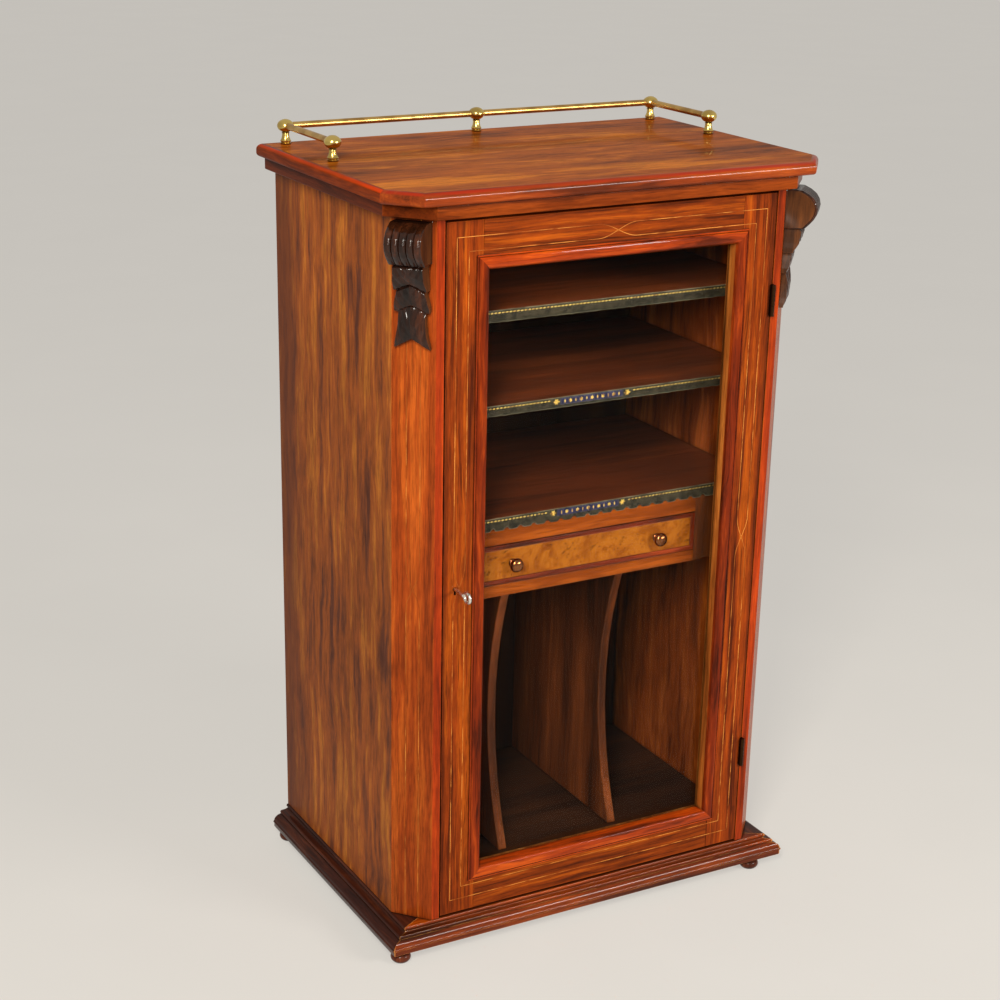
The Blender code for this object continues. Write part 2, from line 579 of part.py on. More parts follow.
def make_gallery():
    """Five brass ball posts, and the rails that run between their sockets."""
    half = HALF_WIDTH + SLAB_SIDE_REACH - GALLERY_SIDE_INSET
    back = BACK_Y + SLAB_BACK_REACH - GALLERY_BACK_INSET
    foot_z = SLAB_TOP_Z + SEAT_GAP
    rail_z = foot_z + POST_BALL_RISE
    bell_radii = (POST_NECK_RADIUS - POST_BASE_RADIUS, POST_BASE_LIP - POST_NECK_RISE)
    bell = arc((POST_BASE_RADIUS, POST_NECK_RISE), bell_radii, 90, 0)
    ball = arc((0, POST_BALL_RISE), (POST_BALL_RADIUS, POST_BALL_HALF_HEIGHT), -70, 20)
    cap = arc((0, POST_BALL_RISE), (POST_BALL_RADIUS, POST_BALL_HALF_HEIGHT), 36, 78)
    crown = (0, POST_BALL_RISE + POST_BALL_HALF_HEIGHT)
    profile = [(0, 0), (POST_BASE_RADIUS, 0)] + bell + ball + cap + [crown]
    reach = POST_BALL_RADIUS - GALLERY_SOCKET_DEPTH
    front = back - GALLERY_SIDE_LENGTH
    posts = {"front_left": ((-half, front), ((0, 1),)), "back_left": ((-half, back), ((0, -1), (1, 0))),
             "back_middle": ((0, back), ()), "back_right": ((half, back), ((0, -1), (-1, 0))),
             "front_right": ((half, front), ((0, 1),))}
    for name, ((x, y), rail_ways) in posts.items():
        bm = bmesh.new()
        turned(bm, profile, (x, y, foot_z), (0, 0, 1), TURNING_SIDES)
        post = add_piece(f"gallery_post_{name}", bm, (0.55, 0.38, 0.12), 0.3, 1.0)
        centre = Vector((x, y, rail_z))
        for way_x, way_y in rail_ways:
            way = Vector((way_x, way_y, 0))
            mouth = centre + way * (POST_BALL_RADIUS + CUT_OVERRUN)
            bm = bmesh.new()
            rod(bm, GALLERY_RAIL_RADIUS + SEAT_GAP, centre + way * reach, mouth)
            combine(post, bm, "DIFFERENCE")
        if name == "back_middle":
            bm = bmesh.new()
            bore_half = POST_BALL_RADIUS + CUT_OVERRUN
            rod(bm, GALLERY_RAIL_RADIUS + SEAT_GAP, (-bore_half, back, rail_z), (bore_half, back, rail_z))
            combine(post, bm, "DIFFERENCE")
        shade_round(post)
    inset = reach + SEAT_GAP
    rails = {"back": ((inset - half, back, rail_z), (half - inset, back, rail_z))}
    for name, side in SIDES:
        rails[name] = ((side * half, front + inset, rail_z), (side * half, back - inset, rail_z))
    for name, (start, end) in rails.items():
        bm = bmesh.new()
        rod(bm, GALLERY_RAIL_RADIUS, start, end)
        shade_round(add_piece(f"gallery_rail_{name}", bm, (0.55, 0.38, 0.12), 0.3, 1.0))


def make_shelves():
    """Three shelves with their ends housed in the sides, each with a leather trim on its edge."""
    half = FITTED_HALF + SHELF_HOUSING_DEPTH
    trim_back = FITTING_Y - SEAT_GAP
    for name, top, thickness, trim_height in SHELVES:
        bm = bmesh.new()
        box(bm, (-half, FITTING_Y, top - thickness), (half, FITTED_BACK_Y, top))
        add_piece(f"shelf_{name}", bm, (0.14, 0.05, 0.02), 0.5)
        bm = bmesh.new()
        box(bm, (-FITTED_HALF, trim_back - TRIM_THICKNESS, top - trim_height), (FITTED_HALF, trim_back, top))
        add_piece(f"shelf_trim_{name}", bm, (0.05, 0.06, 0.055), 0.6)


def make_drawer_housing():
    """Front rails of the drawer, and the runner board with its two cheeks and fillers."""
    rail_half = DRAWER_OPENING_HALF - SEAT_GAP
    rail_back = FITTING_Y + HOUSING_RAIL_DEPTH
    spans = (("lower", HOUSING_BASE_Z, DRAWER_FLOOR_Z), ("upper", DRAWER_CEILING_Z, HOUSING_TOP_Z))
    for name, low, high in spans:
        bm = bmesh.new()
        box(bm, (-rail_half, FITTING_Y, low), (rail_half, rail_back, high))
        add_piece(f"drawer_rail_{name}", bm, (0.36, 0.10, 0.025), 0.35)
    outer = DRAWER_OPENING_HALF + CHEEK_WIDTH
    filler_y = FITTING_Y + FILLER_SETBACK
    shoulder = rail_back + SEAT_GAP
    plan = ((-FITTED_HALF, FITTED_BACK_Y), (-FITTED_HALF, filler_y), (-outer, filler_y),
            (-outer, FITTING_Y), (-DRAWER_OPENING_HALF, FITTING_Y), (-DRAWER_OPENING_HALF, shoulder),
            (DRAWER_OPENING_HALF, shoulder), (DRAWER_OPENING_HALF, FITTING_Y), (outer, FITTING_Y),
            (outer, filler_y), (FITTED_HALF, filler_y), (FITTED_HALF, FITTED_BACK_Y))
    bm = bmesh.new()
    plan_prism(bm, plan, HOUSING_BASE_Z, DRAWER_FLOOR_Z)
    housing = add_piece("drawer_housing", bm, (0.20, 0.065, 0.02), 0.45)
    filler_back = filler_y + FILLER_THICKNESS
    cheek = ((DRAWER_OPENING_HALF, FITTING_Y), (outer, FITTING_Y), (outer, filler_y), (FITTED_HALF, filler_y),
             (FITTED_HALF, filler_back), (outer, filler_back), (outer, FITTED_BACK_Y),
             (DRAWER_OPENING_HALF, FITTED_BACK_Y))
    for _, side in SIDES:
        bm = bmesh.new()
        plan_prism(bm, [(side * x, y) for x, y in cheek], HOUSING_BASE_Z, HOUSING_TOP_Z)
        combine(housing, bm, "UNION")


def make_dividers():
    """Two slot dividers whose front edges are scooped for the hand."""
    low = FLOOR_Z + SEAT_GAP
    high = HOUSING_BASE_Z - SEAT_GAP
    profile = [(FITTED_BACK_Y, high), (FITTED_BACK_Y, low)]
    for i in range(DIVIDER_STEPS + 1):
        share = i / DIVIDER_STEPS
        hollow = DIVIDER_HOLLOW * (1 - (2 * share - 1) ** 2)
        profile.append((FITTING_Y + DIVIDER_SETBACK + hollow, low + (high - low) * share))
    for name, side in SIDES:
        bm = bmesh.new()
        middle = side * DIVIDER_FROM_MIDDLE
        profile_prism(bm, profile, middle - DIVIDER_THICKNESS / 2, middle + DIVIDER_THICKNESS / 2)
        shade_round(add_piece(f"slot_divider_{name}", bm, (0.20, 0.07, 0.025), 0.4))


def cut_hinge_seats(piece, face_x, depth_x):
    """Cut the two shallow seats for the hinge plates into a post or a stile."""
    for middle in HINGE_HEIGHTS:
        half = HINGE_LENGTH / 2 + SEAT_GAP
        overrun_x = face_x + (CUT_OVERRUN if depth_x < face_x else -CUT_OVERRUN)
        bm = bmesh.new()
        box(bm, (overrun_x, FRONT_Y - CUT_OVERRUN, middle - half),
            (depth_x, FRONT_Y + HINGE_PLATE_REACH + SEAT_GAP, middle + half))
        combine(piece, bm, "DIFFERENCE")


def make_hinge_plate(name, middle, face_x, seat_x, knuckle_spans, parent=None):
    """Plate of a butt hinge, with a tongue and a knuckle at each span, counted in thirds."""
    foot = middle - HINGE_LENGTH / 2
    bm = bmesh.new()
    box(bm, (face_x, FRONT_Y + SEAT_GAP, foot), (seat_x, FRONT_Y + HINGE_PLATE_REACH, foot + HINGE_LENGTH))
    plate = add_piece(name, bm, (0.50, 0.36, 0.14), 0.35, 1.0, parent)
    for first_third, last_third in knuckle_spans:
        low = foot + HINGE_LENGTH * first_third / 3 + SEAT_GAP / 2
        high = foot + HINGE_LENGTH * last_third / 3 - SEAT_GAP / 2
        bm = bmesh.new()
        box(bm, (face_x, HINGE_Y, low), (seat_x, FRONT_Y + HINGE_PLATE_REACH / 2, high))
        combine(plate, bm, "UNION")
        bm = bmesh.new()
        rod(bm, KNUCKLE_RADIUS, (HINGE_X, HINGE_Y, low), (HINGE_X, HINGE_Y, high))
        combine(plate, bm, "UNION")
    return plate


def make_hinges(door):
    """Two butt hinges: the pin and outer knuckles on the post, the middle knuckle on the door."""
    for name, middle in zip(("lower", "upper"), HINGE_HEIGHTS):
        low = Vector((HINGE_X, HINGE_Y, middle - HINGE_LENGTH / 2))
        high = Vector((HINGE_X, HINGE_Y, middle + HINGE_LENGTH / 2))
        overrun = Vector((0, 0, CUT_OVERRUN))
        post_side = make_hinge_plate(f"hinge_post_plate_{name}", middle, OPENING_HALF,
                                     OPENING_HALF + HINGE_PLATE_THICKNESS, ((0, 1), (2, 3)))
        bm = bmesh.new()
        rod(bm, HINGE_PIN_RADIUS, low + overrun, high - overrun)
        combine(post_side, bm, "UNION")
        shade_round(post_side)
        door_side = make_hinge_plate(f"hinge_door_plate_{name}", middle, DOOR_HALF,
                                     DOOR_HALF - HINGE_PLATE_THICKNESS, ((1, 2),), door)
        bm = bmesh.new()
        rod(bm, HINGE_PIN_RADIUS + SEAT_GAP, low, high)
        combine(door_side, bm, "DIFFERENCE")
        shade_round(door_side)


def make_door(door):
    """Stiles, rails, mitred sash moulding, glass and glazing beads."""
    for name, side in SIDES:
        bm = bmesh.new()
        box(bm, (side * STILE_INNER, FRONT_Y, DOOR_BASE_Z), (side * DOOR_HALF, DOOR_BACK_Y, DOOR_TOP_Z))
        stile = add_piece(f"door_stile_{name}", bm, (0.40, 0.11, 0.022), 0.26, parent=door)
        if name == "right":
            cut_hinge_seats(stile, DOOR_HALF, DOOR_HALF - HINGE_PLATE_THICKNESS - SEAT_GAP)
        else:
            cut_lock_seat(stile)
    rail_half = STILE_INNER - SEAT_GAP
    low = DOOR_BASE_Z + RAIL_HEIGHT
    high = DOOR_TOP_Z - RAIL_HEIGHT
    for name, rail_low, rail_high in (("bottom", DOOR_BASE_Z, low), ("top", high, DOOR_TOP_Z)):
        bm = bmesh.new()
        box(bm, (-rail_half, FRONT_Y, rail_low), (rail_half, DOOR_BACK_Y, rail_high))
        add_piece(f"door_rail_{name}", bm, (0.40, 0.11, 0.022), 0.26, parent=door)
    sight_half = STILE_INNER - SASH_LEG
    sight_low = low + SASH_LEG
    sight_high = high - SASH_LEG
    leg = SASH_LEG - SEAT_GAP
    outer = SASH_LEG + SASH_COVER
    hump_half = (outer - SASH_QUIRK_WIDTH - SASH_SIGHT_EASING) / 2
    section = [(leg, SEAT_GAP), (leg, -SASH_DEPTH), (0, -SASH_DEPTH), (0, -SASH_SIGHT_EASING)]
    section += arc((SASH_SIGHT_EASING + hump_half, SASH_QUIRK_PROUD / 2), (-hump_half, SASH_PROUD), 0, 180)
    section += [(outer - SASH_QUIRK_WIDTH, SASH_QUIRK_PROUD), (outer, SASH_QUIRK_PROUD), (outer, SEAT_GAP)]
    bm = bmesh.new()
    framed(bm, section, sight_half, sight_low, sight_high, FRONT_Y)
    shade_round(add_piece("sash_moulding", bm, (0.28, 0.045, 0.012), 0.2, parent=door))
    glass_y = FRONT_Y + SASH_DEPTH + SEAT_GAP
    bm = bmesh.new()
    pane_half = STILE_INNER - PANE_PLAY
    box(bm, (-pane_half, glass_y, low + PANE_PLAY),
        (pane_half, glass_y + GLASS_THICKNESS, high - PANE_PLAY))
    add_piece("glass_pane", bm, (0.75, 0.78, 0.74), 0.03, parent=door)
    bead_y = glass_y + GLASS_THICKNESS + SEAT_GAP
    bead_depth = DOOR_BACK_Y - bead_y
    bm = bmesh.new()
    section = [(leg, -bead_depth), (leg, 0), (0, 0)] + arc((leg, 0), (-leg, -bead_depth), 15, 75)
    framed(bm, section, sight_half, sight_low, sight_high, bead_y)
    shade_round(add_piece("glazing_beads", bm, (0.20, 0.08, 0.02), 0.4, parent=door))


def keyhole_cutters(front, back):
    """Round hole and the slot under it, which the key's bit goes in by."""
    hole = bmesh.new()
    rod(hole, KEY_SHANK_RADIUS + KEY_PLAY, (LOCK_X, front, LOCK_Z), (LOCK_X, back, LOCK_Z))
    slot = bmesh.new()
    half = KEY_BIT_THICKNESS / 2 + KEY_PLAY
    box(slot, (LOCK_X - half, front, LOCK_Z - KEY_BIT_DROP - KEY_PLAY), (LOCK_X + half, back, LOCK_Z))
    return hole, slot


def cut_lock_seat(stile):
    """Recess for the lock case in the stile's back and edge, and the keyhole through its face."""
    middle = LOCK_Z + LOCK_CASE_LIFT
    half = LOCK_CASE_HEIGHT / 2 + SEAT_GAP
    bm = bmesh.new()
    box(bm, (-DOOR_HALF - CUT_OVERRUN, DOOR_BACK_Y - LOCK_CASE_DEPTH - SEAT_GAP, middle - half),
        (-DOOR_HALF + LOCK_CASE_WIDTH + SEAT_GAP, DOOR_BACK_Y + CUT_OVERRUN, middle + half))
    combine(stile, bm, "DIFFERENCE")
    for cutter in keyhole_cutters(FRONT_Y - CUT_OVERRUN, DOOR_BACK_Y):
        combine(stile, cutter, "DIFFERENCE")


def make_lock(door, key_axis):
    """Hollow lock case, its sliding bolt and the key."""
    middle = LOCK_Z + LOCK_CASE_LIFT
    low = Vector((-DOOR_HALF, DOOR_BACK_Y - LOCK_CASE_DEPTH, middle - LOCK_CASE_HEIGHT / 2))
    high = Vector((-DOOR_HALF + LOCK_CASE_WIDTH, DOOR_BACK_Y, middle + LOCK_CASE_HEIGHT / 2))
    wall = Vector((LOCK_WALL, LOCK_WALL, LOCK_WALL))
    bm = bmesh.new()
    box(bm, low, high)
    case = add_piece("lock_case", bm, (0.45, 0.34, 0.15), 0.35, 1.0, door)
    bm = bmesh.new()
    box(bm, low + wall, high - wall)
    combine(case, bm, "DIFFERENCE")
    bm = bmesh.new()
    half_y = BOLT_THICKNESS / 2 + BOLT_PLAY
    half_z = BOLT_HEIGHT / 2 + BOLT_PLAY
    box(bm, (low.x - CUT_OVERRUN, BOLT_Y - half_y, BOLT_Z - half_z),
        (low.x + LOCK_WALL + CUT_OVERRUN, BOLT_Y + half_y, BOLT_Z + half_z))
    combine(case, bm, "DIFFERENCE")
    for cutter in keyhole_cutters(low.y - CUT_OVERRUN, low.y + LOCK_WALL + CUT_OVERRUN):
        combine(case, cutter, "DIFFERENCE")
    bolt_axis = axis_empty("bolt_axis", (-DOOR_HALF, BOLT_Y, BOLT_Z), door)
    bm = bmesh.new()
    tip = SEAT_GAP - DOOR_HALF
    box(bm, (tip, BOLT_Y - BOLT_THICKNESS / 2, BOLT_Z - BOLT_HEIGHT / 2),
        (tip + BOLT_LENGTH, BOLT_Y + BOLT_THICKNESS / 2, BOLT_Z + BOLT_HEIGHT / 2))
    add_piece("lock_bolt", bm, (0.48, 0.36, 0.16), 0.3, 1.0, bolt_axis)
    make_key(key_axis)


def make_key(key_axis):
    """Small steel key: ring bow, collar, shank and a bit inside the lock case."""
    bow_y = FRONT_Y - KEY_BOW_DISTANCE
    bm = bmesh.new()
    rings = []
    for i in range(TURNING_SIDES):
        turn = 2 * pi * i / TURNING_SIDES
        ring = []
        for j in range(ROD_SIDES):
            wire = 2 * pi * j / ROD_SIDES
            radius = KEY_BOW_RADIUS + KEY_WIRE_RADIUS * cos(wire)
            ring.append(bm.verts.new((LOCK_X + KEY_WIRE_RADIUS * sin(wire), bow_y + radius * cos(turn),
                                      LOCK_Z + radius * sin(turn))))
        rings.append(ring)
    for i, ring in enumerate(rings):
        following = rings[(i + 1) % TURNING_SIDES]
        for j in range(ROD_SIDES):
            k = (j + 1) % ROD_SIDES
            bm.faces.new((ring[j], ring[k], following[k], following[j]))
    key = add_piece("key", bm, (0.60, 0.58, 0.54), 0.25, 1.0, key_axis)
    shank_start = bow_y + KEY_BOW_RADIUS
    case_inner_y = DOOR_BACK_Y - LOCK_CASE_DEPTH + LOCK_WALL
    bit_start = case_inner_y + KEY_PLAY
    bit_end = bit_start + KEY_BIT_LENGTH
    bm = bmesh.new()
    rod(bm, KEY_SHANK_RADIUS, (LOCK_X, shank_start, LOCK_Z), (LOCK_X, bit_end + KEY_PLAY, LOCK_Z))
    combine(key, bm, "UNION")
    bm = bmesh.new()
    collar_start = shank_start + KEY_WIRE_RADIUS
    collar_end = collar_start + KEY_COLLAR_LENGTH
    rod(bm, KEY_COLLAR_RADIUS, (LOCK_X, collar_start, LOCK_Z), (LOCK_X, collar_end, LOCK_Z))
    combine(key, bm, "UNION")
    bm = bmesh.new()
    half = KEY_BIT_THICKNESS / 2
    box(bm, (LOCK_X - half, bit_start, LOCK_Z - KEY_BIT_DROP), (LOCK_X + half, bit_end, LOCK_Z))
    combine(key, bm, "UNION")
    shade_round(key)


def make_drawer(drawer):
    """Burr-fronted drawer with a cockbead, two knobs and a plain box behind."""
    half = DRAWER_OPENING_HALF - DRAWER_GAP
    low = DRAWER_FLOOR_Z + DRAWER_GAP
    high = DRAWER_CEILING_Z - DRAWER_GAP
    front_back = FITTING_Y + DRAWER_FRONT_THICKNESS
    field_half = half - COCKBEAD_WIDTH - SEAT_GAP
    field_low = low + COCKBEAD_WIDTH + SEAT_GAP
    field_high = high - COCKBEAD_WIDTH - SEAT_GAP
    bm = bmesh.new()
    box(bm, (-field_half, FITTING_Y, field_low), (field_half, front_back, field_high))
    add_piece("drawer_front", bm, (0.55, 0.26, 0.05), 0.3, parent=drawer)
    bm = bmesh.new()
    section = [(COCKBEAD_WIDTH, -DRAWER_FRONT_THICKNESS), (0, -DRAWER_FRONT_THICKNESS)]
    section += arc((COCKBEAD_WIDTH / 2, 0), (-COCKBEAD_WIDTH / 2, COCKBEAD_PROUD), 0, 180)
    framed(bm, section, half - COCKBEAD_WIDTH, low + COCKBEAD_WIDTH, high - COCKBEAD_WIDTH, FITTING_Y)
    shade_round(add_piece("drawer_cockbead", bm, (0.28, 0.04, 0.012), 0.25, parent=drawer))
    box_start = front_back + SEAT_GAP
    box_end = FITTED_BACK_Y - DRAWER_BACK_ROOM
    side_inner = half - DRAWER_SIDE_THICKNESS
    for name, side in SIDES:
        bm = bmesh.new()
        box(bm, (side * side_inner, box_start, low), (side * half, box_end, high - DRAWER_SIDE_DROP))
        add_piece(f"drawer_side_{name}", bm, (0.36, 0.20, 0.09), 0.6, parent=drawer)
    fitted = side_inner - SEAT_GAP
    floor = low + DRAWER_BOTTOM_RISE
    floor_top = floor + DRAWER_BOTTOM_THICKNESS
    bm = bmesh.new()
    box(bm, (-fitted, box_end - DRAWER_SIDE_THICKNESS, floor_top + SEAT_GAP),
        (fitted, box_end, high - DRAWER_SIDE_DROP))
    add_piece("drawer_back", bm, (0.36, 0.20, 0.09), 0.6, parent=drawer)
    bm = bmesh.new()
    box(bm, (-fitted, box_start, floor), (fitted, box_end, floor_top))
    add_piece("drawer_bottom", bm, (0.33, 0.19, 0.09), 0.6, parent=drawer)
    head_half = (KNOB_REACH - KNOB_NECK_LENGTH) / 2
    profile = [(0, 0), (KNOB_FOOT_RADIUS, 0)]
    neck_radii = (KNOB_NECK_RADIUS - KNOB_FOOT_RADIUS, -KNOB_NECK_LENGTH)
    profile += arc((KNOB_FOOT_RADIUS, KNOB_NECK_LENGTH), neck_radii, 70, 0)
    profile += arc((0, KNOB_REACH - head_half), (KNOB_RADIUS, head_half), -60, 10)
    profile += arc((0, KNOB_REACH - head_half), (KNOB_RADIUS, head_half), 25, 78)
    profile.append((0, KNOB_REACH))
    for name, side in SIDES:
        bm = bmesh.new()
        centre = (side * (half - KNOB_END_INSET), FITTING_Y - SEAT_GAP, (low + high) / 2)
        turned(bm, profile, centre, (0, -1, 0), TURNING_SIDES)
        shade_round(add_piece(f"drawer_knob_{name}", bm, (0.30, 0.17, 0.06), 0.2, 0.6, drawer))


for old in list(bpy.data.objects):
    bpy.data.objects.remove(old, do_unlink=True)

door_axis = axis_empty("door_axis", (HINGE_X, HINGE_Y, DOOR_BASE_Z))
key_turn_axis = axis_empty("key_axis", (LOCK_X, FRONT_Y, LOCK_Z), door_axis)
drawer_axis = axis_empty("drawer_axis", (0, FITTING_Y, (DRAWER_FLOOR_Z + DRAWER_CEILING_Z) / 2))

make_carcass()
make_cornice()
make_plinth()
make_feet()
make_corbels()
make_gallery()
make_shelves()
make_drawer_housing()
make_dividers()
make_door(door_axis)
make_hinges(door_axis)
make_lock(door_axis, key_turn_axis)
make_drawer(drawer_axis)
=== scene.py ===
from math import cos, exp, pi, radians, sin, sqrt

import bmesh
import bpy
from mathutils import Matrix, Vector
from mathutils.noise import noise


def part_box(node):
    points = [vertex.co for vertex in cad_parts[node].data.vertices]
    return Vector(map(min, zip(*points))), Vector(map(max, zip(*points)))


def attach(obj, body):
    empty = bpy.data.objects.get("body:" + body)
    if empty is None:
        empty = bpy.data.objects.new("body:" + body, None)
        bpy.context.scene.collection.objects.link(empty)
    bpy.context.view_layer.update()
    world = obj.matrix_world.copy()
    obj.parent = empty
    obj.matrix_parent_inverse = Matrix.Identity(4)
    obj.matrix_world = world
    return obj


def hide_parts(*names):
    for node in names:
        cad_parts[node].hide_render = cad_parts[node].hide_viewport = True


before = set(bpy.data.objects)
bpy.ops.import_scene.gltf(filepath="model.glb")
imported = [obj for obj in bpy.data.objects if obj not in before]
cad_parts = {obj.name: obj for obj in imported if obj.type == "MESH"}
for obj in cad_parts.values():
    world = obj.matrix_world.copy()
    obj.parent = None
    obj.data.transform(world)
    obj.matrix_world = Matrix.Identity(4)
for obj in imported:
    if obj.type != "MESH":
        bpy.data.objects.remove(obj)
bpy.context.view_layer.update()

# Side panels. Each is a board with figured walnut veneer laid upright outside, French polished,
# and plain dark mahogany inside. The arrises are rubbed round by use.
SIDE_VENEER = ((190, 112, 40), (158, 82, 32), (98, 52, 34))
INSIDE_MAHOGANY = ((186, 92, 32), (148, 66, 22), (92, 40, 14))
RUBBED_WALNUT = (214, 128, 62)
# Old wax is the colour that corners and hollows darken to, from dirt and from painted shade.
OLD_WAX_AND_SHADE = (30, 14, 8)
SIDE_EASING = 0.0009
SIDES = (("left", -1), ("right", 1))


def shade(red, green, blue):
    """Linear colour of a shade given as 0 to 255 per channel."""
    linear = [((c / 255 + 0.055) / 1.055) ** 2.4 if c > 10 else c / 3294.6 for c in (red, green, blue)]
    return (*linear, 1)


def fill(tree, node, plugs):
    """Set or link each named input of a node."""
    for key, value in plugs.items():
        if isinstance(value, bpy.types.NodeSocket):
            tree.links.new(value, node.inputs[key])
        else:
            node.inputs[key].default_value = value


def place_node(tree, kind, plugs=None, **settings):
    """Add a node, set its own settings, and fill its inputs with values or links."""
    node = tree.nodes.new("ShaderNode" + kind)
    for key, value in settings.items():
        setattr(node, key, value)
    fill(tree, node, plugs or {})
    return node


def maths(tree, operation, first, second=0.0, third=0.0, clamped=False):
    """One step of arithmetic on values."""
    plugs = {0: first, 1: second, 2: third}
    return place_node(tree, "Math", plugs, operation=operation, use_clamp=clamped).outputs[0]


def vector_maths(tree, operation, plugs):
    """One step of arithmetic on vectors."""
    return place_node(tree, "VectorMath", plugs, operation=operation).outputs


def ramp(tree, value, low, high, start=0.0, end=1.0):
    """Smooth rise from start to end while the value goes from low to high."""
    plugs = {"Value": value, "From Min": low, "From Max": high, "To Min": start, "To Max": end}
    return place_node(tree, "MapRange", plugs, interpolation_type="SMOOTHSTEP").outputs[0]


def blended(tree, share, first, second, blend="MIX"):
    """Mix of two colours."""
    plugs = {0: share, 6: first, 7: second}
    return place_node(tree, "Mix", plugs, data_type="RGBA", blend_type=blend).outputs[2]


def misty(tree, place, scale, detail=2.0, roughness=0.5):
    """Soft noise of even grain."""
    plugs = {"Vector": place, "Scale": scale, "Detail": detail, "Roughness": roughness}
    return place_node(tree, "TexNoise", plugs).outputs["Fac"]


def grained(tree, place, stretch, scale, detail=2.0, roughness=0.5):
    """Noise drawn out along the grain, which runs along Z."""
    if isinstance(stretch, bpy.types.NodeSocket):
        stretch = place_node(tree, "CombineXYZ", {0: 1, 1: 1, 2: stretch}).outputs[0]
    else:
        stretch = (1, 1, stretch)
    drawn = vector_maths(tree, "MULTIPLY", {0: place, 1: stretch})[0]
    return misty(tree, drawn, scale, detail, roughness)


def bumped(tree, height, strength, distance):
    """Normal of a surface with fine relief."""
    plugs = {"Height": height, "Strength": strength, "Distance": distance}
    return place_node(tree, "Bump", plugs).outputs[0]


def new_group(name, takes, gives):
    """Empty shader group with its named inputs and outputs."""
    group = bpy.data.node_groups.new(name, "ShaderNodeTree")
    for label, kind, value in takes:
        socket = group.interface.new_socket(label, in_out="INPUT", socket_type="NodeSocket" + kind)
        socket.default_value = value
    for label, kind in gives:
        group.interface.new_socket(label, in_out="OUTPUT", socket_type="NodeSocket" + kind)
    return group, group.nodes.new("NodeGroupInput").outputs, group.nodes.new("NodeGroupOutput")


def build_wood_figure():
    """Figured wood: broad figure, growth lines, mottle, short flecks and open pores."""
    takes = [("Place", "Vector", (0, 0, 0)), ("Pale", "Color", (0.5, 0.2, 0.05, 1)),
             ("Middle", "Color", (0.3, 0.1, 0.03, 1)), ("Dark", "Color", (0.1, 0.03, 0.02, 1)),
             ("Figure", "Float", 20), ("Length", "Float", 0.07), ("Streaks", "Float", 0.5),
             ("Mottle", "Float", 0.5), ("Wander", "Float", 1.0), ("Shine", "Float", 0.35)]
    gives = [("Colour", "Color"), ("Roughness", "Float"), ("Height", "Float")]
    group, given, out = new_group("wood figure", takes, gives)
    true_place = given["Place"]
    drift = place_node(group, "TexNoise", {"Vector": true_place, "Scale": 7, "Detail": 2}).outputs["Color"]
    drift = vector_maths(group, "SUBTRACT", {0: drift, 1: (0.5, 0.5, 0.5)})[0]
    drift = vector_maths(group, "SCALE", {0: drift, 3: given["Wander"]})[0]
    place = vector_maths(group, "MULTIPLY_ADD", {0: drift, 1: (0.035, 0.035, 0.1), 2: true_place})[0]
    broad = grained(group, place, given["Length"], given["Figure"], 5, 0.68)
    lines = grained(group, place, 0.022, 330, 4, 0.7)
    tone = grained(group, true_place, 0.3, 7, 2, 0.5)
    mottle = grained(group, place, 0.32, 70, 4, 0.7)
    flecks = grained(group, true_place, 0.06, 800, 2, 0.6)
    pores = ramp(group, grained(group, true_place, 0.03, 1500, 1), 0.60, 0.72)
    colour = blended(group, ramp(group, broad, 0.34, 0.50), given["Dark"], given["Middle"])
    colour = blended(group, ramp(group, broad, 0.50, 0.64), colour, given["Pale"])
    streak = maths(group, "MULTIPLY", ramp(group, lines, 0.50, 0.66), given["Streaks"])
    colour = blended(group, streak, colour, given["Dark"])
    cloud = 1.0
    for mist, strength in ((mottle, given["Mottle"]), (flecks, 0.75), (tone, 0.9)):
        cloud = maths(group, "MULTIPLY_ADD", maths(group, "SUBTRACT", mist, 0.5), strength, cloud)
    cloud = maths(group, "MULTIPLY_ADD", pores, -0.22, cloud)
    rough = maths(group, "MULTIPLY_ADD", lines, 0.16, maths(group, "SUBTRACT", given["Shine"], 0.08))
    height = maths(group, "MULTIPLY_ADD", lines, 0.35, maths(group, "MULTIPLY", pores, -0.6))
    colour = blended(group, 1.0, colour, cloud, "MULTIPLY")
    fill(group, out, {"Colour": colour, "Roughness": rough, "Height": height})
    return group


def build_edge_wear_and_highlight():
    """Mask of arrises that hands have rubbed, broken up along their length; on some pieces it also paints a
    highlight.
    """
    takes = [("Radius", "Float", 0.0015), ("Amount", "Float", 0.5)]
    group, given, out = new_group("edge wear and highlight", takes, [("Mask", "Float")])
    rounded = place_node(group, "Bevel", {"Radius": given["Radius"]}, samples=4).outputs[0]
    true = place_node(group, "NewGeometry").outputs["Normal"]
    bend = vector_maths(group, "DOT_PRODUCT", {0: rounded, 1: true})["Value"]
    patch = misty(group, place_node(group, "TexCoord").outputs["Object"], 42, 4)
    mask = maths(group, "MULTIPLY", ramp(group, bend, 0.995, 0.86), ramp(group, patch, 0.3, 0.62))
    fill(group, out, {"Mask": maths(group, "MULTIPLY", mask, given["Amount"], clamped=True)})
    return group


def build_crevice_dirt_and_shade():
    """Mask of the corners and hollows where old wax and dust have darkened, which also paints shade there.
    """
    takes = [("Reach", "Float", 0.006), ("Amount", "Float", 0.6)]
    group, given, out = new_group("crevice dirt and shade", takes, [("Mask", "Float")])
    open_share = place_node(group, "AmbientOcclusion", {"Distance": given["Reach"]}, samples=6).outputs["AO"]
    mask = maths(group, "MULTIPLY", ramp(group, open_share, 0.92, 0.35), given["Amount"], clamped=True)
    fill(group, out, {"Mask": mask})
    return group


WOOD_FIGURE = build_wood_figure()
EDGE_WEAR_AND_HIGHLIGHT = build_edge_wear_and_highlight()
CREVICE_DIRT_AND_SHADE = build_crevice_dirt_and_shade()


def masked(tree, group, plugs):
    """Mask that one of the groups gives."""
    return place_node(tree, "Group", plugs, node_tree=group).outputs["Mask"]


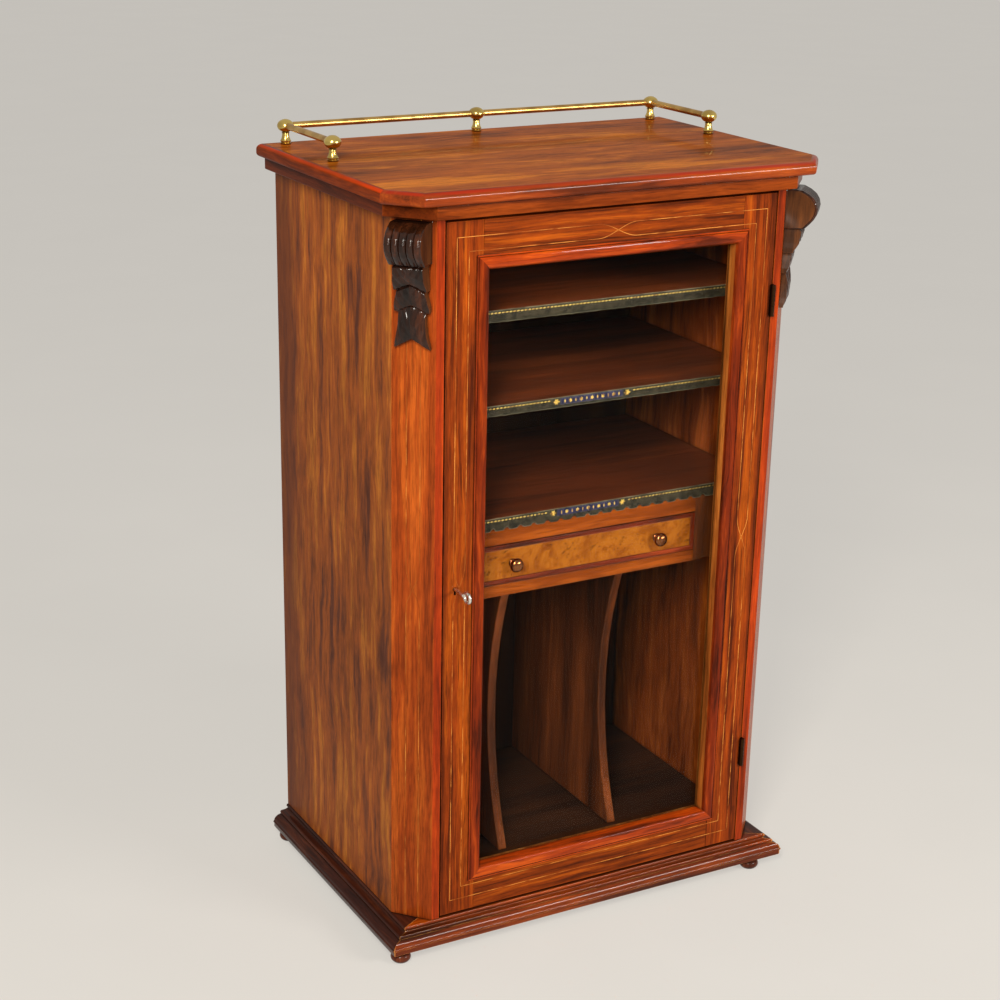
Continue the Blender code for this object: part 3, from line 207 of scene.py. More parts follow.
def new_finish(name):
    """New material, its node tree, its shader, and the place on the object."""
    material = bpy.data.materials.new(name)
    material.use_nodes = True
    tree = material.node_tree
    return material, tree, tree.nodes["Principled BSDF"], place_node(tree, "TexCoord").outputs["Object"]


def along_grain(tree, place, grain, start):
    """Place with the grain's own axis turned to Z."""
    axes = place_node(tree, "SeparateXYZ", {0: place}).outputs
    order = {"x": "YZX", "y": "ZXY", "z": "XYZ"}[grain]
    turned_place = place_node(tree, "CombineXYZ", {i: axes[axis] for i, axis in enumerate(order)}).outputs[0]
    return vector_maths(tree, "ADD", {0: turned_place, 1: start})[0]


def facing(tree, way):
    """Mask of the faces that look one way."""
    normal = place_node(tree, "TexCoord").outputs["Normal"]
    share = vector_maths(tree, "DOT_PRODUCT", {0: normal, 1: way})["Value"]
    return maths(tree, "MULTIPLY", maths(tree, "SUBTRACT", share, 0.85), 8.0, clamped=True)


def wood(name, veneer, grain="z", start=(0, 0, 0), figure=20.0, length=0.07, streaks=0.5, mottle=0.5,
         wander=0.5, shine=0.36, gloss=0.06, polish=(0.5, 0.12, 1.25), rubbed_and_highlit=RUBBED_WALNUT, wear_and_highlight=0.35,
         grime_and_shade=0.6, inside=None, band=None, painted_rim=None):
    """Wood under old polish, whose polish is (weight, roughness, IOR).

    Inside is (way, veneer) for the faces that look that way, band (axis, from, to, share) a dark strip
    towards an outer edge, and the rim colour is light and shade painted on an upper edge that is rounded
    over.
    """
    material, tree, shader, object_place = new_finish(name)
    place = along_grain(tree, object_place, grain, start)

    def figured(shades, lines, clouds):
        pale, middle, dark = (shade(*tone) for tone in shades)
        plugs = {"Place": place, "Pale": pale, "Middle": middle, "Dark": dark, "Figure": figure,
                 "Length": length, "Streaks": lines, "Mottle": clouds, "Wander": wander, "Shine": shine}
        return place_node(tree, "Group", plugs, node_tree=WOOD_FIGURE).outputs

    outer = figured(veneer, streaks, mottle)
    colour = outer["Colour"]
    if band:
        axis, band_start, band_end, share = band
        edge = place_node(tree, "SeparateXYZ", {0: object_place}).outputs[axis]
        if axis == "X":
            edge = maths(tree, "ABSOLUTE", edge)
        spread = (band_end - band_start) * 1.2
        ragged = maths(tree, "MULTIPLY_ADD", grained(tree, place, 0.06, 26, 3), spread, edge)
        dark_band = ramp(tree, ragged, band_start + spread / 2, band_end + spread / 2, 0.0, share)
        colour = blended(tree, dark_band, colour, shade(*veneer[2]))
    if inside:
        way, inner_veneer = inside
        colour = blended(tree, facing(tree, way), colour, figured(inner_veneer, 0.45, 0.7)["Colour"])
    # Light and shade painted along the upward faces of a rounded upper edge.
    if painted_rim:
        normal = place_node(tree, "TexCoord").outputs["Normal"]
        up = place_node(tree, "SeparateXYZ", {0: normal}).outputs["Z"]
        edge = maths(tree, "MULTIPLY", ramp(tree, up, 0.4, 0.75), ramp(tree, up, 0.99, 0.92, 0.0, 0.9))
        broken = ramp(tree, grained(tree, place, 0.1, 90, 3), 0.36, 0.56, 0.45, 1.0)
        colour = blended(tree, maths(tree, "MULTIPLY", edge, broken), colour, shade(*painted_rim))
    # Arrises take the rubbed colour: wear, and where it is pale, as on the plinth front, also a painted
    # highlight.
    colour = blended(tree, masked(tree, EDGE_WEAR_AND_HIGHLIGHT, {"Amount": wear_and_highlight}), colour, shade(*rubbed_and_highlit))
    # Corners and hollows darken with old wax and dust, and with painted shade.
    dirt_and_shade = masked(tree, CREVICE_DIRT_AND_SHADE, {"Amount": grime_and_shade})
    fill(tree, shader, {
        "Base Color": blended(tree, dirt_and_shade, colour, shade(*OLD_WAX_AND_SHADE)),
        "Roughness": maths(tree, "MULTIPLY_ADD", dirt_and_shade, 0.25, outer["Roughness"]),
        "Normal": bumped(tree, outer["Height"], 0.25, 0.0003), "Specular IOR Level": gloss,
        "Coat Weight": polish[0], "Coat Roughness": polish[1], "Coat IOR": polish[2]})
    return material


def dress(finish, easing, *names):
    """Give CAD nodes their finish and ease their arrises, as sandpaper leaves them."""
    for name in names:
        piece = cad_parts[name]
        piece.material_slots[0].material = finish
        joined = piece.modifiers.new("joined", "WELD")
        joined.merge_threshold = 0.00001
        flat = piece.modifiers.new("flat faces", "DECIMATE")
        flat.decimate_type = "DISSOLVE"
        flat.angle_limit = radians(1)
        eased = piece.modifiers.new("eased", "BEVEL")
        eased.width = easing
        eased.segments = 2
        eased.limit_method = "ANGLE"
        eased.angle_limit = radians(30)


for side_name, side in SIDES:
    finish = wood(f"side walnut {side_name}", SIDE_VENEER, start=(3.1 * side, 1.7, 0.4), figure=46,
                  length=0.10, streaks=0.35, mottle=1.2, wander=0.8, gloss=0.02, polish=(0.15, 0.2, 1.12),
                  wear_and_highlight=0.3, inside=((-side, 0, 0), INSIDE_MAHOGANY), band=("Y", 0.12, 0.18, 0.7))
    dress(finish, SIDE_EASING, f"side_{side_name}")

# Corner posts. Each is one length of walnut with its front corner planed off at an angle; the narrow
# strip beside the door is cross-banded in a redder wood, and two lines of boxwood run down the cant.
POST_VENEER = ((184, 86, 26), (156, 64, 18), (98, 38, 12))
STRIP_VENEER = ((184, 64, 16), (150, 48, 12), (100, 32, 8))
BOXWOOD = (222, 142, 62)
BOXWOOD_WORN = (140, 62, 18)
POST_EASING = 0.0007
CANT_WIDTH = 0.036
CANT_DEPTH = 0.040
CANT_FACE = sqrt(CANT_WIDTH ** 2 + CANT_DEPTH ** 2)
LINE_WIDTH = 0.0007
LINE_PROUD = 0.00012
LINE_SUNK = 0.0003
LINE_END_GAP = 0.002
LINE_STEPS = 120
CANT_LINE_HALF = 0.0085
CROSSING_Z = 0.487
CROSSING_HALF = 0.026

post_low, post_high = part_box("corner_post_left")
cant_half_width = -post_low.x - CANT_WIDTH / 2
cant_middle_y = post_low.y + CANT_DEPTH / 2


def boxwood_finish():
    """Pale boxwood line under old polish, darker where it has been rubbed thin."""
    material, tree, shader, place = new_finish("boxwood line")
    patch = misty(tree, place, 55, 4)
    stretch = ramp(tree, misty(tree, place, 9), 0.38, 0.56, 0.22, 1.0)
    clean = maths(tree, "MULTIPLY", ramp(tree, patch, 0.34, 0.6), stretch)
    fill(tree, shader, {"Base Color": blended(tree, clean, shade(*BOXWOOD_WORN), shade(*BOXWOOD)),
                        "Roughness": ramp(tree, patch, 0.3, 0.7, 0.5, 0.35), "Specular IOR Level": 0.05})
    return material


def new_piece(bm, name, finishes, crisp):
    """Turn drawn faces into an object that is smooth across curves and crisp at corners."""
    bmesh.ops.recalc_face_normals(bm, faces=bm.faces)
    mesh = bpy.data.meshes.new(name)
    bm.to_mesh(mesh)
    bm.free()
    for finish_used in finishes:
        mesh.materials.append(finish_used)
    mesh.shade_smooth()
    mesh.set_sharp_from_angle(angle=radians(crisp))
    piece = bpy.data.objects.new(name, mesh)
    bpy.context.scene.collection.objects.link(piece)
    return piece


def settle(bm, name, finishes, crisp, body, slot, *nodes):
    """Make a piece, fix it to its body, and stand it in for CAD nodes; the slot is not used."""
    piece = new_piece(bm, name, finishes, crisp)
    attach(piece, body)
    if nodes:
        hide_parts(*nodes)


def skin(bm, rings, looped=False):
    """Faces between rings of points of equal count, in a closed loop or with both ends capped."""
    rings = [[bm.verts.new(point) for point in ring] for ring in rings]
    strips = []
    pairs = list(zip(rings, rings[1:]))
    if looped:
        pairs.append((rings[-1], rings[0]))
    for first, second in pairs:
        count = len(first)
        strips.append([bm.faces.new((first[i], first[(i + 1) % count], second[(i + 1) % count], second[i]))
                       for i in range(count)])
    if not looped:
        bm.faces.new(rings[0])
        bm.faces.new(rings[-1])
    return strips


def lay_line(bm, path, out):
    """Thin inlaid line along a path on a flat face that looks along out."""
    out = Vector(out).normalized()
    rings = []
    for i, point in enumerate(path):
        ahead = path[min(i + 1, len(path) - 1)]
        behind = path[max(i - 1, 0)]
        across = out.cross((Vector(ahead) - Vector(behind)).normalized()) * (LINE_WIDTH / 2)
        point = Vector(point)
        corners = ((-1, -LINE_SUNK), (-1, LINE_PROUD), (1, LINE_PROUD), (1, -LINE_SUNK))
        rings.append([point + across * side + out * depth for side, depth in corners])
    skin(bm, rings)


def crossing(rise, half, middle, reach):
    """Offset of one of two lines that swap sides around a middle height, from +half to -half."""
    share = max(-1.0, min(1.0, (rise - middle) / reach))
    return half * share * (1.5 - 0.5 * share * share)


boxwood = boxwood_finish()
low, high = post_low.z + LINE_END_GAP, post_high.z - LINE_END_GAP
for side_name, side in SIDES:
    finish = wood(f"post walnut {side_name}", POST_VENEER, start=(1.3, 2.2 * side, 0.8), figure=75,
                  length=0.045, streaks=0.6, mottle=0.9, wander=0.3, gloss=0.04, polish=(0.3, 0.12, 1.25),
                  rubbed_and_highlit=(226, 98, 30), wear_and_highlight=0.7, inside=((0, -1, 0), STRIP_VENEER))
    dress(finish, POST_EASING, f"corner_post_{side_name}")
    out = Vector((side * CANT_DEPTH, -CANT_WIDTH, 0)) / CANT_FACE
    along = Vector((side * CANT_WIDTH, CANT_DEPTH, 0)) / CANT_FACE
    middle = Vector((side * cant_half_width, cant_middle_y, 0))
    bm = bmesh.new()
    for way in (-1, 1):
        path = []
        for i in range(LINE_STEPS + 1):
            z = low + (high - low) * i / LINE_STEPS
            across = way * crossing(z, CANT_LINE_HALF, CROSSING_Z, CROSSING_HALF)
            path.append(middle + along * across + Vector((0, 0, z)))
        lay_line(bm, path, out)
    settle(bm, f"post_lines_{side_name}", [boxwood], 35, "carcass", "walnut_frame")

# Floor, sub-top and back. Plain mahogany boards between the sides, only waxed, the floor and the back
# much darker than the sub-top; the back is a thin panel in a rebate.
BACK_WOOD = ((74, 40, 20), (52, 27, 15), (30, 15, 9))
BOTTOM_WOOD = ((84, 46, 26), (62, 34, 20), (38, 20, 12))
BOARD_EASING = 0.0006
PLINTH_BACK_EASING = 0.001

for name, node, veneer, start, coat, rubbed_and_highlit in (
        ("inner mahogany board", "sub_top_board", INSIDE_MAHOGANY, (0.7, 0.2, 4.1), 0.15, (120, 66, 30)),
        ("bottom board", "bottom_board", BOTTOM_WOOD, (0.1, 0.2, 3.1), 0.1, (110, 62, 34))):
    finish = wood(name, veneer, grain="x", start=start, figure=14, streaks=0.25, shine=0.5,
                  polish=(coat, 0.3, 1.25), wear_and_highlight=0.15, rubbed_and_highlit=rubbed_and_highlit)
    dress(finish, BOARD_EASING, node)
back_board = wood("back board", BACK_WOOD, start=(5.2, 0.4, 0.1), figure=12, streaks=0.3, mottle=0.4,
                  shine=0.6, polish=(0.05, 0.4, 1.25), wear_and_highlight=0.1, rubbed_and_highlit=(100, 60, 32))
dress(back_board, BOARD_EASING, "back_panel")
dress(back_board, PLINTH_BACK_EASING, "plinth_back")

# Plinth. A moulding of three beads over a square base, run in red-brown stained wood, mitred at the
# front corners and glued under the carcass. Its side members are painted in shade, nearly black.
PLINTH_FRONT_WOOD = ((172, 74, 9), (122, 46, 5), (54, 18, 2))
PLINTH_SIDE_SHADED_WOOD = ((92, 44, 24), (60, 26, 16), (34, 15, 11))
PLINTH_HEIGHT = 0.031
PLINTH_SIDE_REACH = 0.0227
PLINTH_FRONT_REACH = 0.0127
PLINTH_FRONT_DEPTH = 0.026
PLINTH_BEAD = 0.0024
PLINTH_LOWER_BEAD = 0.0014
PLINTH_BASE_HEIGHT = 0.0068
PLINTH_MIDDLE_SHARE = 0.42
PLINTH_SWAY = 0.0002
BOARD_GAP = 0.0003

plinth_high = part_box("plinth_front")[1]
carcass_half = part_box("side_right")[1].x
carcass_front = post_low.y
carcass_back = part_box("side_right")[1].y


def arc(centre, radii, start, end, steps=10):
    """Points on an ellipse about a centre, between two angles in degrees."""
    turns = [radians(start + (end - start) * i / steps) for i in range(steps + 1)]
    return [(centre[0] + radii[0] * cos(t), centre[1] + radii[1] * sin(t)) for t in turns]


def plinth_section():
    """Section as (share of the reach, rise from the top): beads, cove, ovolo and square base."""
    bead = PLINTH_BEAD / PLINTH_SIDE_REACH
    lower_bead = PLINTH_LOWER_BEAD / PLINTH_SIDE_REACH
    middle_rise = -PLINTH_MIDDLE_SHARE * (PLINTH_HEIGHT - PLINTH_BASE_HEIGHT)
    lower_middle = PLINTH_BASE_HEIGHT + PLINTH_LOWER_BEAD - PLINTH_HEIGHT
    share = PLINTH_MIDDLE_SHARE
    low_share = 1 - lower_bead
    cove = middle_rise + 3 * PLINTH_BEAD
    ovolo = middle_rise - PLINTH_BEAD - lower_middle - PLINTH_LOWER_BEAD
    inner = -PLINTH_FRONT_DEPTH / PLINTH_FRONT_REACH
    points = [(inner, 0), (-0.6, 0)] + arc((0, -PLINTH_BEAD), (bead, PLINTH_BEAD), 90, -60)
    points += arc((share, -2 * PLINTH_BEAD), (-share, cove), 25, 85)
    points += arc((share, middle_rise), (bead, PLINTH_BEAD), 75, -60)
    points += arc((share, lower_middle + PLINTH_LOWER_BEAD), (low_share - share, ovolo), 70, 5)
    points += arc((low_share, lower_middle), (lower_bead, PLINTH_LOWER_BEAD), 75, -75)
    points += [(low_share, 0.0008 + PLINTH_BASE_HEIGHT - PLINTH_HEIGHT), (low_share, 0.001 - PLINTH_HEIGHT)]
    return points + [(low_share - 0.04, -PLINTH_HEIGHT), (inner, -PLINTH_HEIGHT)]


def plinth_corner(side, out_share, rise, shift_x, shift_y):
    """Point on the mitre of a front corner."""
    x = carcass_half + out_share * PLINTH_SIDE_REACH + shift_x
    return (side * x, carcass_front - out_share * PLINTH_FRONT_REACH + shift_y, plinth_high.z + rise)


def bent_rings(first, last, steps, sway):
    """Rings between two end sections, swayed a hair so a long moulding isn't machine straight."""
    rings = []
    for k in range(steps + 1):
        share = k / steps
        ring = []
        for start_point, end_point in zip(first, last):
            point = Vector(start_point).lerp(Vector(end_point), share)
            lift = sway * sin(pi * share) * noise(point * 9)
            ring.append(point + Vector((0, lift, 0)))
        rings.append(ring)
    return rings


section = plinth_section()
# The front darkens towards its foot as painted shade; its pale gold rubbed ridges are partly painted
# highlight, and its hollows partly painted shade.
finish = wood("plinth front", PLINTH_FRONT_WOOD, grain="x", start=(0.3, 1.1, 2), figure=40, streaks=0.6,
              wander=0.2, shine=0.26, gloss=0.01, polish=(0.26, 0.12, 1.7), rubbed_and_highlit=(250, 170, 84),
              wear_and_highlight=0.85, grime_and_shade=0.95, band=("Z", 0.040, 0.014, 0.5))
bm = bmesh.new()
ends = [[plinth_corner(side, out, rise, -BOARD_GAP, 0) for out, rise in section] for side in (-1, 1)]
skin(bm, bent_rings(*ends, 24, PLINTH_SWAY))
settle(bm, "plinth_front_moulding", [finish], 50, "carcass", "moulding", "plinth_front")
# The side members' nearly black copy of the plinth wood is painted shade.
finish = wood("plinth side", PLINTH_SIDE_SHADED_WOOD, grain="y", start=(0.6, 0.1, 3), figure=40, streaks=0.6,
              mottle=0.3, shine=0.3, gloss=0.03, polish=(0.6, 0.08, 1.2), rubbed_and_highlit=(150, 70, 32), wear_and_highlight=0.5,
              grime_and_shade=0.9)
for side_name, side in SIDES:
    bm = bmesh.new()
    front = [plinth_corner(side, out, rise, 0, BOARD_GAP) for out, rise in section]
    back = [(x, carcass_back, z) for x, _, z in front]
    skin(bm, bent_rings(front, back, 16, 0))
    settle(bm, f"plinth_{side_name}_moulding", [finish], 50, "carcass", "moulding", f"plinth_{side_name}")

# Feet. Small bun feet, turned from the same dark wood and pegged into the plinth's underside;
# the floor has scuffed the polish off their widest part.
FOOT_WOOD = ((118, 58, 30), (84, 38, 22), (44, 20, 13))
FOOT_PROFILE = ((0, 0), (0.42, 0), (0.62, 0.03), (0.82, 0.14), (0.95, 0.28), (1, 0.42), (0.985, 0.54),
                (0.92, 0.67), (0.8, 0.78), (0.7, 0.83), (0.66, 0.87), (0.68, 0.93), (0.76, 0.96),
                (0.76, 1), (0, 1))


def turned(bm, profile, centre, axis, sides):
    """Closed turned body from a (radius, distance along the axis) profile, pole to pole."""
    direction = Vector(axis).normalized()
    first = direction.orthogonal().normalized()
    second = direction.cross(first)
    rings = []
    for radius, distance in profile:
        middle = Vector(centre) + direction * distance
        if radius == 0:
            rings.append([bm.verts.new(middle)])
            continue
        turns = [2 * pi * i / sides for i in range(sides)]
        rings.append([bm.verts.new(middle + radius * (first * cos(t) + second * sin(t))) for t in turns])
    for lower, upper in zip(rings, rings[1:]):
        for i in range(sides):
            j = (i + 1) % sides
            if len(lower) == 1:
                bm.faces.new((lower[0], upper[j], upper[i]))
            elif len(upper) == 1:
                bm.faces.new((lower[i], lower[j], upper[0]))
            else:
                bm.faces.new((lower[i], lower[j], upper[j], upper[i]))


def turned_piece(node, name, profile, finish, body, slot, axis=(0, 0, 1), sides=48):
    """Turned piece in the place of a CAD node, from the end of the node that the axis leaves."""
    base = []
    for low, high, way in zip(*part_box(node), axis):
        base.append(low if way > 0 else high if way < 0 else (low + high) / 2)
    bm = bmesh.new()
    turned(bm, profile, base, axis, sides)
    settle(bm, name, [finish], 50, body, slot, node)


def rounded_profile(points, steps=4):
    """Profile with a smooth curve through its points, apart from its two poles."""
    inner = [Vector(p).to_2d() for p in points[1:-1]]
    drawn = []
    for i in range(len(inner) - 1):
        before = inner[max(i - 1, 0)]
        start, end = inner[i], inner[i + 1]
        after = inner[min(i + 2, len(inner) - 1)]
        for k in range(steps):
            t = k / steps
            bend = 2 * before - 5 * start + 4 * end - after
            twist = 3 * start - before - 3 * end + after
            drawn.append(0.5 * (2 * start + (end - before) * t + bend * t * t + twist * t ** 3))
    drawn.append(inner[-1])
    return [tuple(points[0])] + [(max(p.x, 0.00001), p.y) for p in drawn] + [tuple(points[-1])]


foot_wood = wood("turned foot", FOOT_WOOD, start=(1, 2, 3), figure=60, streaks=0.4, shine=0.3,
                 polish=(0.6, 0.12, 1.25), rubbed_and_highlit=(150, 84, 46), wear_and_highlight=0.4, grime_and_shade=0.5)
for corner in ("front_left", "front_right", "back_left", "back_right"):
    low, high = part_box(f"foot_{corner}")
    radius = (high.x - low.x) / 2
    profile = rounded_profile([(share * radius, rise * (high.z - low.z)) for share, rise in FOOT_PROFILE])
    turned_piece(f"foot_{corner}", f"bun_foot_{corner}", profile, foot_wood, "carcass", "dark_carving")

# Cornice and top. A plain fascia planted round the head of the carcass carries a solid top board,
# whose edge is rounded over above and below; both are canted with the corners and highly polished.
CORNICE_WOOD = ((140, 61, 18), (108, 43, 12), (68, 27, 9))
TOP_WOOD = ((210, 118, 24), (170, 84, 15), (106, 50, 12))
EDGE_WOOD = ((166, 74, 22), (136, 54, 15), (88, 34, 10))
# Painted light on the rounded upper edge of the top board: bright along the sides, where it is also the
# rubbed colour, and darker along the front.
TOP_EDGE_WORN_AND_LIT = (206, 62, 18)
TOP_EDGE_FRONT_SHADED = (156, 38, 12)
SLAB_CANT = (0.034, 0.0415)
SLAB_LOWER_ROUND = 0.0045
SLAB_UPPER_ROUND = 0.0075
CORNICE_CANT_GROWTH = 0.0135
CORNICE_EASING = 0.0015
BOARD_MARGIN = 0.004
SIDE_EDGES = (0, 4)


def canted_plan(low, high, cant):
    """Plan of a board with both front corners cut off, from the back left corner forward and round."""
    width, depth = cant
    return [(low.x, high.y), (low.x, low.y + depth), (low.x + width, low.y), (high.x - width, low.y),
            (high.x, low.y + depth), (high.x, high.y)]


def grown(plan, distances):
    """Corners of a plan after each edge moves outwards by its own distance."""
    corners = []
    for i, corner in enumerate(plan):
        before = (Vector(corner) - Vector(plan[i - 1])).normalized()
        after = (Vector(plan[(i + 1) % len(plan)]) - Vector(corner)).normalized()
        out_before = Vector((-before.y, before.x)) * -distances[i - 1]
        out_after = Vector((-after.y, after.x)) * -distances[i]
        cross = before.x * after.y - before.y * after.x
        gap = out_after - out_before
        reach = (gap.x * after.y - gap.y * after.x) / cross
        corners.append(Vector(corner) + out_before + before * reach)
    return corners


def rounded_edge(height, lower, upper, lower_steps, upper_steps):
    """Edge as (inset, rise), rounded over at its foot and its top."""
    return (arc((lower, lower), (-lower, lower), -90, 0, lower_steps)
            + arc((upper, height - upper), (-upper, upper), 0, 90, upper_steps))


def edged_board(bm, plan, base_z, profile):
    """Board whose edge follows an (inset, rise) profile, with a margin ring inside each flat face."""
    bottom, top = profile[0], profile[-1]
    steps = [(bottom[0] + BOARD_MARGIN, bottom[1])] + profile + [(top[0] + BOARD_MARGIN, top[1])]
    rings = []
    for inset, rise in steps:
        outline = grown(plan, [-inset] * len(plan))
        rings.append([(x, y, base_z + rise) for x, y in outline])
    return skin(bm, rings)


low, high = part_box("cornice_moulding")
carcass_plan = canted_plan(Vector((-carcass_half, carcass_front)), Vector((carcass_half, carcass_back)),
                           (CANT_WIDTH, CANT_DEPTH))
plan = grown(carcass_plan, [CORNICE_CANT_GROWTH] * 5 + [0])
bm = bmesh.new()
profile = rounded_edge(high.z - low.z, CORNICE_EASING, CORNICE_EASING, 4, 4)
for strip in edged_board(bm, plan, low.z, profile):
    for i in SIDE_EDGES:
        strip[i].material_index = 1
finishes = [wood(f"cornice {name}", CORNICE_WOOD, grain=grain, start=start, figure=30, mottle=0.4,
                 gloss=0.02, polish=(0.25, 0.1, 1.15), rubbed_and_highlit=(206, 92, 26), wear_and_highlight=0.5, grime_and_shade=0.8)
            for name, grain, start in (("front", "x", (0.9, 3.3, 1)), ("side", "y", (0.4, 1.9, 2)))]
settle(bm, "cornice_fascia", finishes, 30, "carcass", "moulding", "cornice_moulding")

low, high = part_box("top_slab")
bm = bmesh.new()
profile = rounded_edge(high.z - low.z, SLAB_LOWER_ROUND, SLAB_UPPER_ROUND, 8, 12)
for strip in edged_board(bm, canted_plan(low, high, SLAB_CANT), low.z, profile)[1:-1]:
    for i, face in enumerate(strip):
        face.material_index = 2 if i in SIDE_EDGES else 1
finishes = [wood("top board", TOP_WOOD, grain="x", start=(0.1, 0.8, 0.3), figure=24, length=0.12, mottle=1.0,
                 wander=0.8, shine=0.42, gloss=0.01, polish=(0.14, 0.06, 1.1), wear_and_highlight=0.3, grime_and_shade=0.4)]
# The rounded upper edge of the top takes painted light, brighter along the sides and darker along the front.
for name, grain, start, polish, painted_rim in (
        ("front", "x", (0.3, 0.2, 0.3), (0.3, 0.07, 1.5), TOP_EDGE_FRONT_SHADED),
        ("side", "y", (0.7, 0.4, 0.1), (0.2, 0.1, 1.12), TOP_EDGE_WORN_AND_LIT)):
    finishes.append(wood(f"top edge {name}", EDGE_WOOD, grain=grain, start=start, figure=40, streaks=0.25,
                         gloss=0.02, polish=polish, rubbed_and_highlit=TOP_EDGE_WORN_AND_LIT, wear_and_highlight=0.5, grime_and_shade=0.5, painted_rim=painted_rim))
settle(bm, "top_board", finishes, 35, "carcass", "walnut_top", "top_slab")

# Corbels. Carved from dark wood and glued on the cants: a reeded scroll with a flat disc at each end,
# then leaf tiers that curl outwards at their lower edges and end in a forked tail.
CORBEL_WOOD = ((72, 35, 16), (44, 21, 10), (20, 10, 5))
DISC_WOOD = ((112, 64, 30), (86, 48, 22), (58, 32, 15))
CORBEL_HEIGHT = 0.144
CORBEL_WIDTH = 0.0435
CORBEL_REACH = 0.039
CORBEL_TOP_GAP = 0.0035
CORBEL_NOTCH = 0.012
CORBEL_ROWS = 190
CORBEL_COLUMNS = 60
REEDS = 5
REED_DEPTH = 0.0026
LEAF_RIB = 0.0012
LEAF_VEIN = 0.0011
LEAF_EDGE = 0.0016
LEAF_DROOP = 0.055
DISC_RIM = 0.0011
DISC_DEPTH = 0.0007
SCROLL_END = 0.325
LEAF_START = SCROLL_END + 0.03
TAIL_START = 0.78
CORBEL_SHAPE = (
    (0, 0.49, 1), (0.028, 0.70, 1), (0.062, 0.86, 1), (0.104, 0.96, 1), (0.153, 1, 1), (0.20, 0.975, 1),
    (0.245, 0.885, 1), (0.285, 0.76, 1), (0.323, 0.62, 1), (0.327, 0.50, 0.82), (0.35, 0.575, 0.83),
    (0.42, 0.54, 0.86), (0.465, 0.45, 0.90), (0.508, 0.36, 0.91), (0.512, 0.27, 0.78), (0.53, 0.32, 0.79),
    (0.58, 0.31, 0.88), (0.64, 0.26, 0.97), (0.682, 0.21, 0.97), (0.687, 0.18, 0.76), (0.72, 0.21, 0.75),
    (0.78, 0.245, 0.76), (0.84, 0.26, 0.81), (0.90, 0.25, 0.88), (0.95, 0.23, 0.95), (1, 0.18, 1))
LEAF_TIERS = ((0.327, 0.508), (0.512, 0.682), (0.687, 1.0))


def corbel_shape(share):
    """Reach and width shares of the corbel at a share of its drop."""
    for (d0, r0, w0), (d1, r1, w1) in zip(CORBEL_SHAPE, CORBEL_SHAPE[1:]):
        if share <= d1:
            t = (share - d0) / (d1 - d0)
            return r0 + (r1 - r0) * t, w0 + (w1 - w0) * t
    return CORBEL_SHAPE[-1][1:]


def corbel_carving(share, across):
    """Depth cut into the corbel's face: reeds on the scroll, ribbed leaves below it."""
    if share < SCROLL_END:
        phase = (across + 1) / 2 * REEDS % 1
        return REED_DEPTH * (1 - sqrt(max(0.0, 1 - (2 * phase - 1) ** 2)))
    for start, end in LEAF_TIERS:
        if start <= share <= end:
            rise = (share - start) / (end - start)
            side = abs(across)
            rib = LEAF_RIB * exp(-(side / 0.10) ** 2) * (1 - 0.6 * rise)
            vein = LEAF_VEIN * (1 - abs(sin(2.6 * pi * (side * 0.9 + rise * 0.75)))) * min(1.0, side * 4)
            return vein + LEAF_EDGE * side ** 4 - rib
    return LEAF_RIB


def corbel_point(side, across, out, drop):
    """World place of a corbel point, measured from the middle of its cant."""
    along = Vector((CANT_WIDTH, CANT_DEPTH)) / CANT_FACE
    x = cant_half_width + across * along.x + out * along.y
    y = cant_middle_y + across * along.y - out * along.x
    return Vector((side * x, y, post_high.z - CORBEL_TOP_GAP - drop))


def corbel_row(bm, side, share):
    """One level of the corbel: points along its carved face and along its flat back."""
    front, back = [], []
    for column in range(CORBEL_COLUMNS + 1):
        across = 2 * column / CORBEL_COLUMNS - 1
        droop = LEAF_DROOP * (0.55 - abs(across)) if share > LEAF_START else 0.0
        droop *= min(1.0, (1 - share) * 12, max(0.0, share - LEAF_START) * 25)
        shaped = min(1.0, share + droop)
        reach, width = corbel_shape(shaped)
        drop = share * CORBEL_HEIGHT
        if share > TAIL_START:
            bottom = CORBEL_HEIGHT - CORBEL_NOTCH * (1 - abs(across))
            start = TAIL_START * CORBEL_HEIGHT
            drop = start + (drop - start) * (bottom - start) / (CORBEL_HEIGHT - start)
        out = reach * CORBEL_REACH - corbel_carving(shaped, across)
        wide = across * width * CORBEL_WIDTH / 2
        front.append(bm.verts.new(corbel_point(side, wide, out, drop)))
        back.append(bm.verts.new(corbel_point(side, wide, BOARD_GAP, drop)))
    return front, back


def carve_corbel(bm, side):
    """Carved face, its sides and the flat back against the post."""
    rows, columns = CORBEL_ROWS, CORBEL_COLUMNS
    front, back = zip(*(corbel_row(bm, side, row / rows) for row in range(rows + 1)))
    for row in range(rows):
        for column in range(columns):
            for grid in (front, back):
                upper, lower = grid[row], grid[row + 1]
                bm.faces.new((upper[column], upper[column + 1], lower[column + 1], lower[column]))
    end_discs = []
    for column in (0, columns):
        edge_rows = [row for row in range(rows + 1) if row / rows < SCROLL_END]
        loop = [front[row][column] for row in edge_rows] + [back[row][column] for row in reversed(edge_rows)]
        end_discs.append(bm.faces.new(loop))
        for row in range(edge_rows[-1], rows):
            side_face = bm.faces.new((front[row][column], front[row + 1][column],
                                      back[row + 1][column], back[row][column]))
            side_face.material_index = 1
    for column in range(columns):
        for row in (0, rows):
            bm.faces.new((front[row][column], front[row][column + 1],
                          back[row][column + 1], back[row][column]))
    bmesh.ops.recalc_face_normals(bm, faces=bm.faces)
    for disc in end_discs:
        bmesh.ops.inset_region(bm, faces=[disc], thickness=DISC_RIM, depth=-DISC_DEPTH)
        disc.material_index = 1


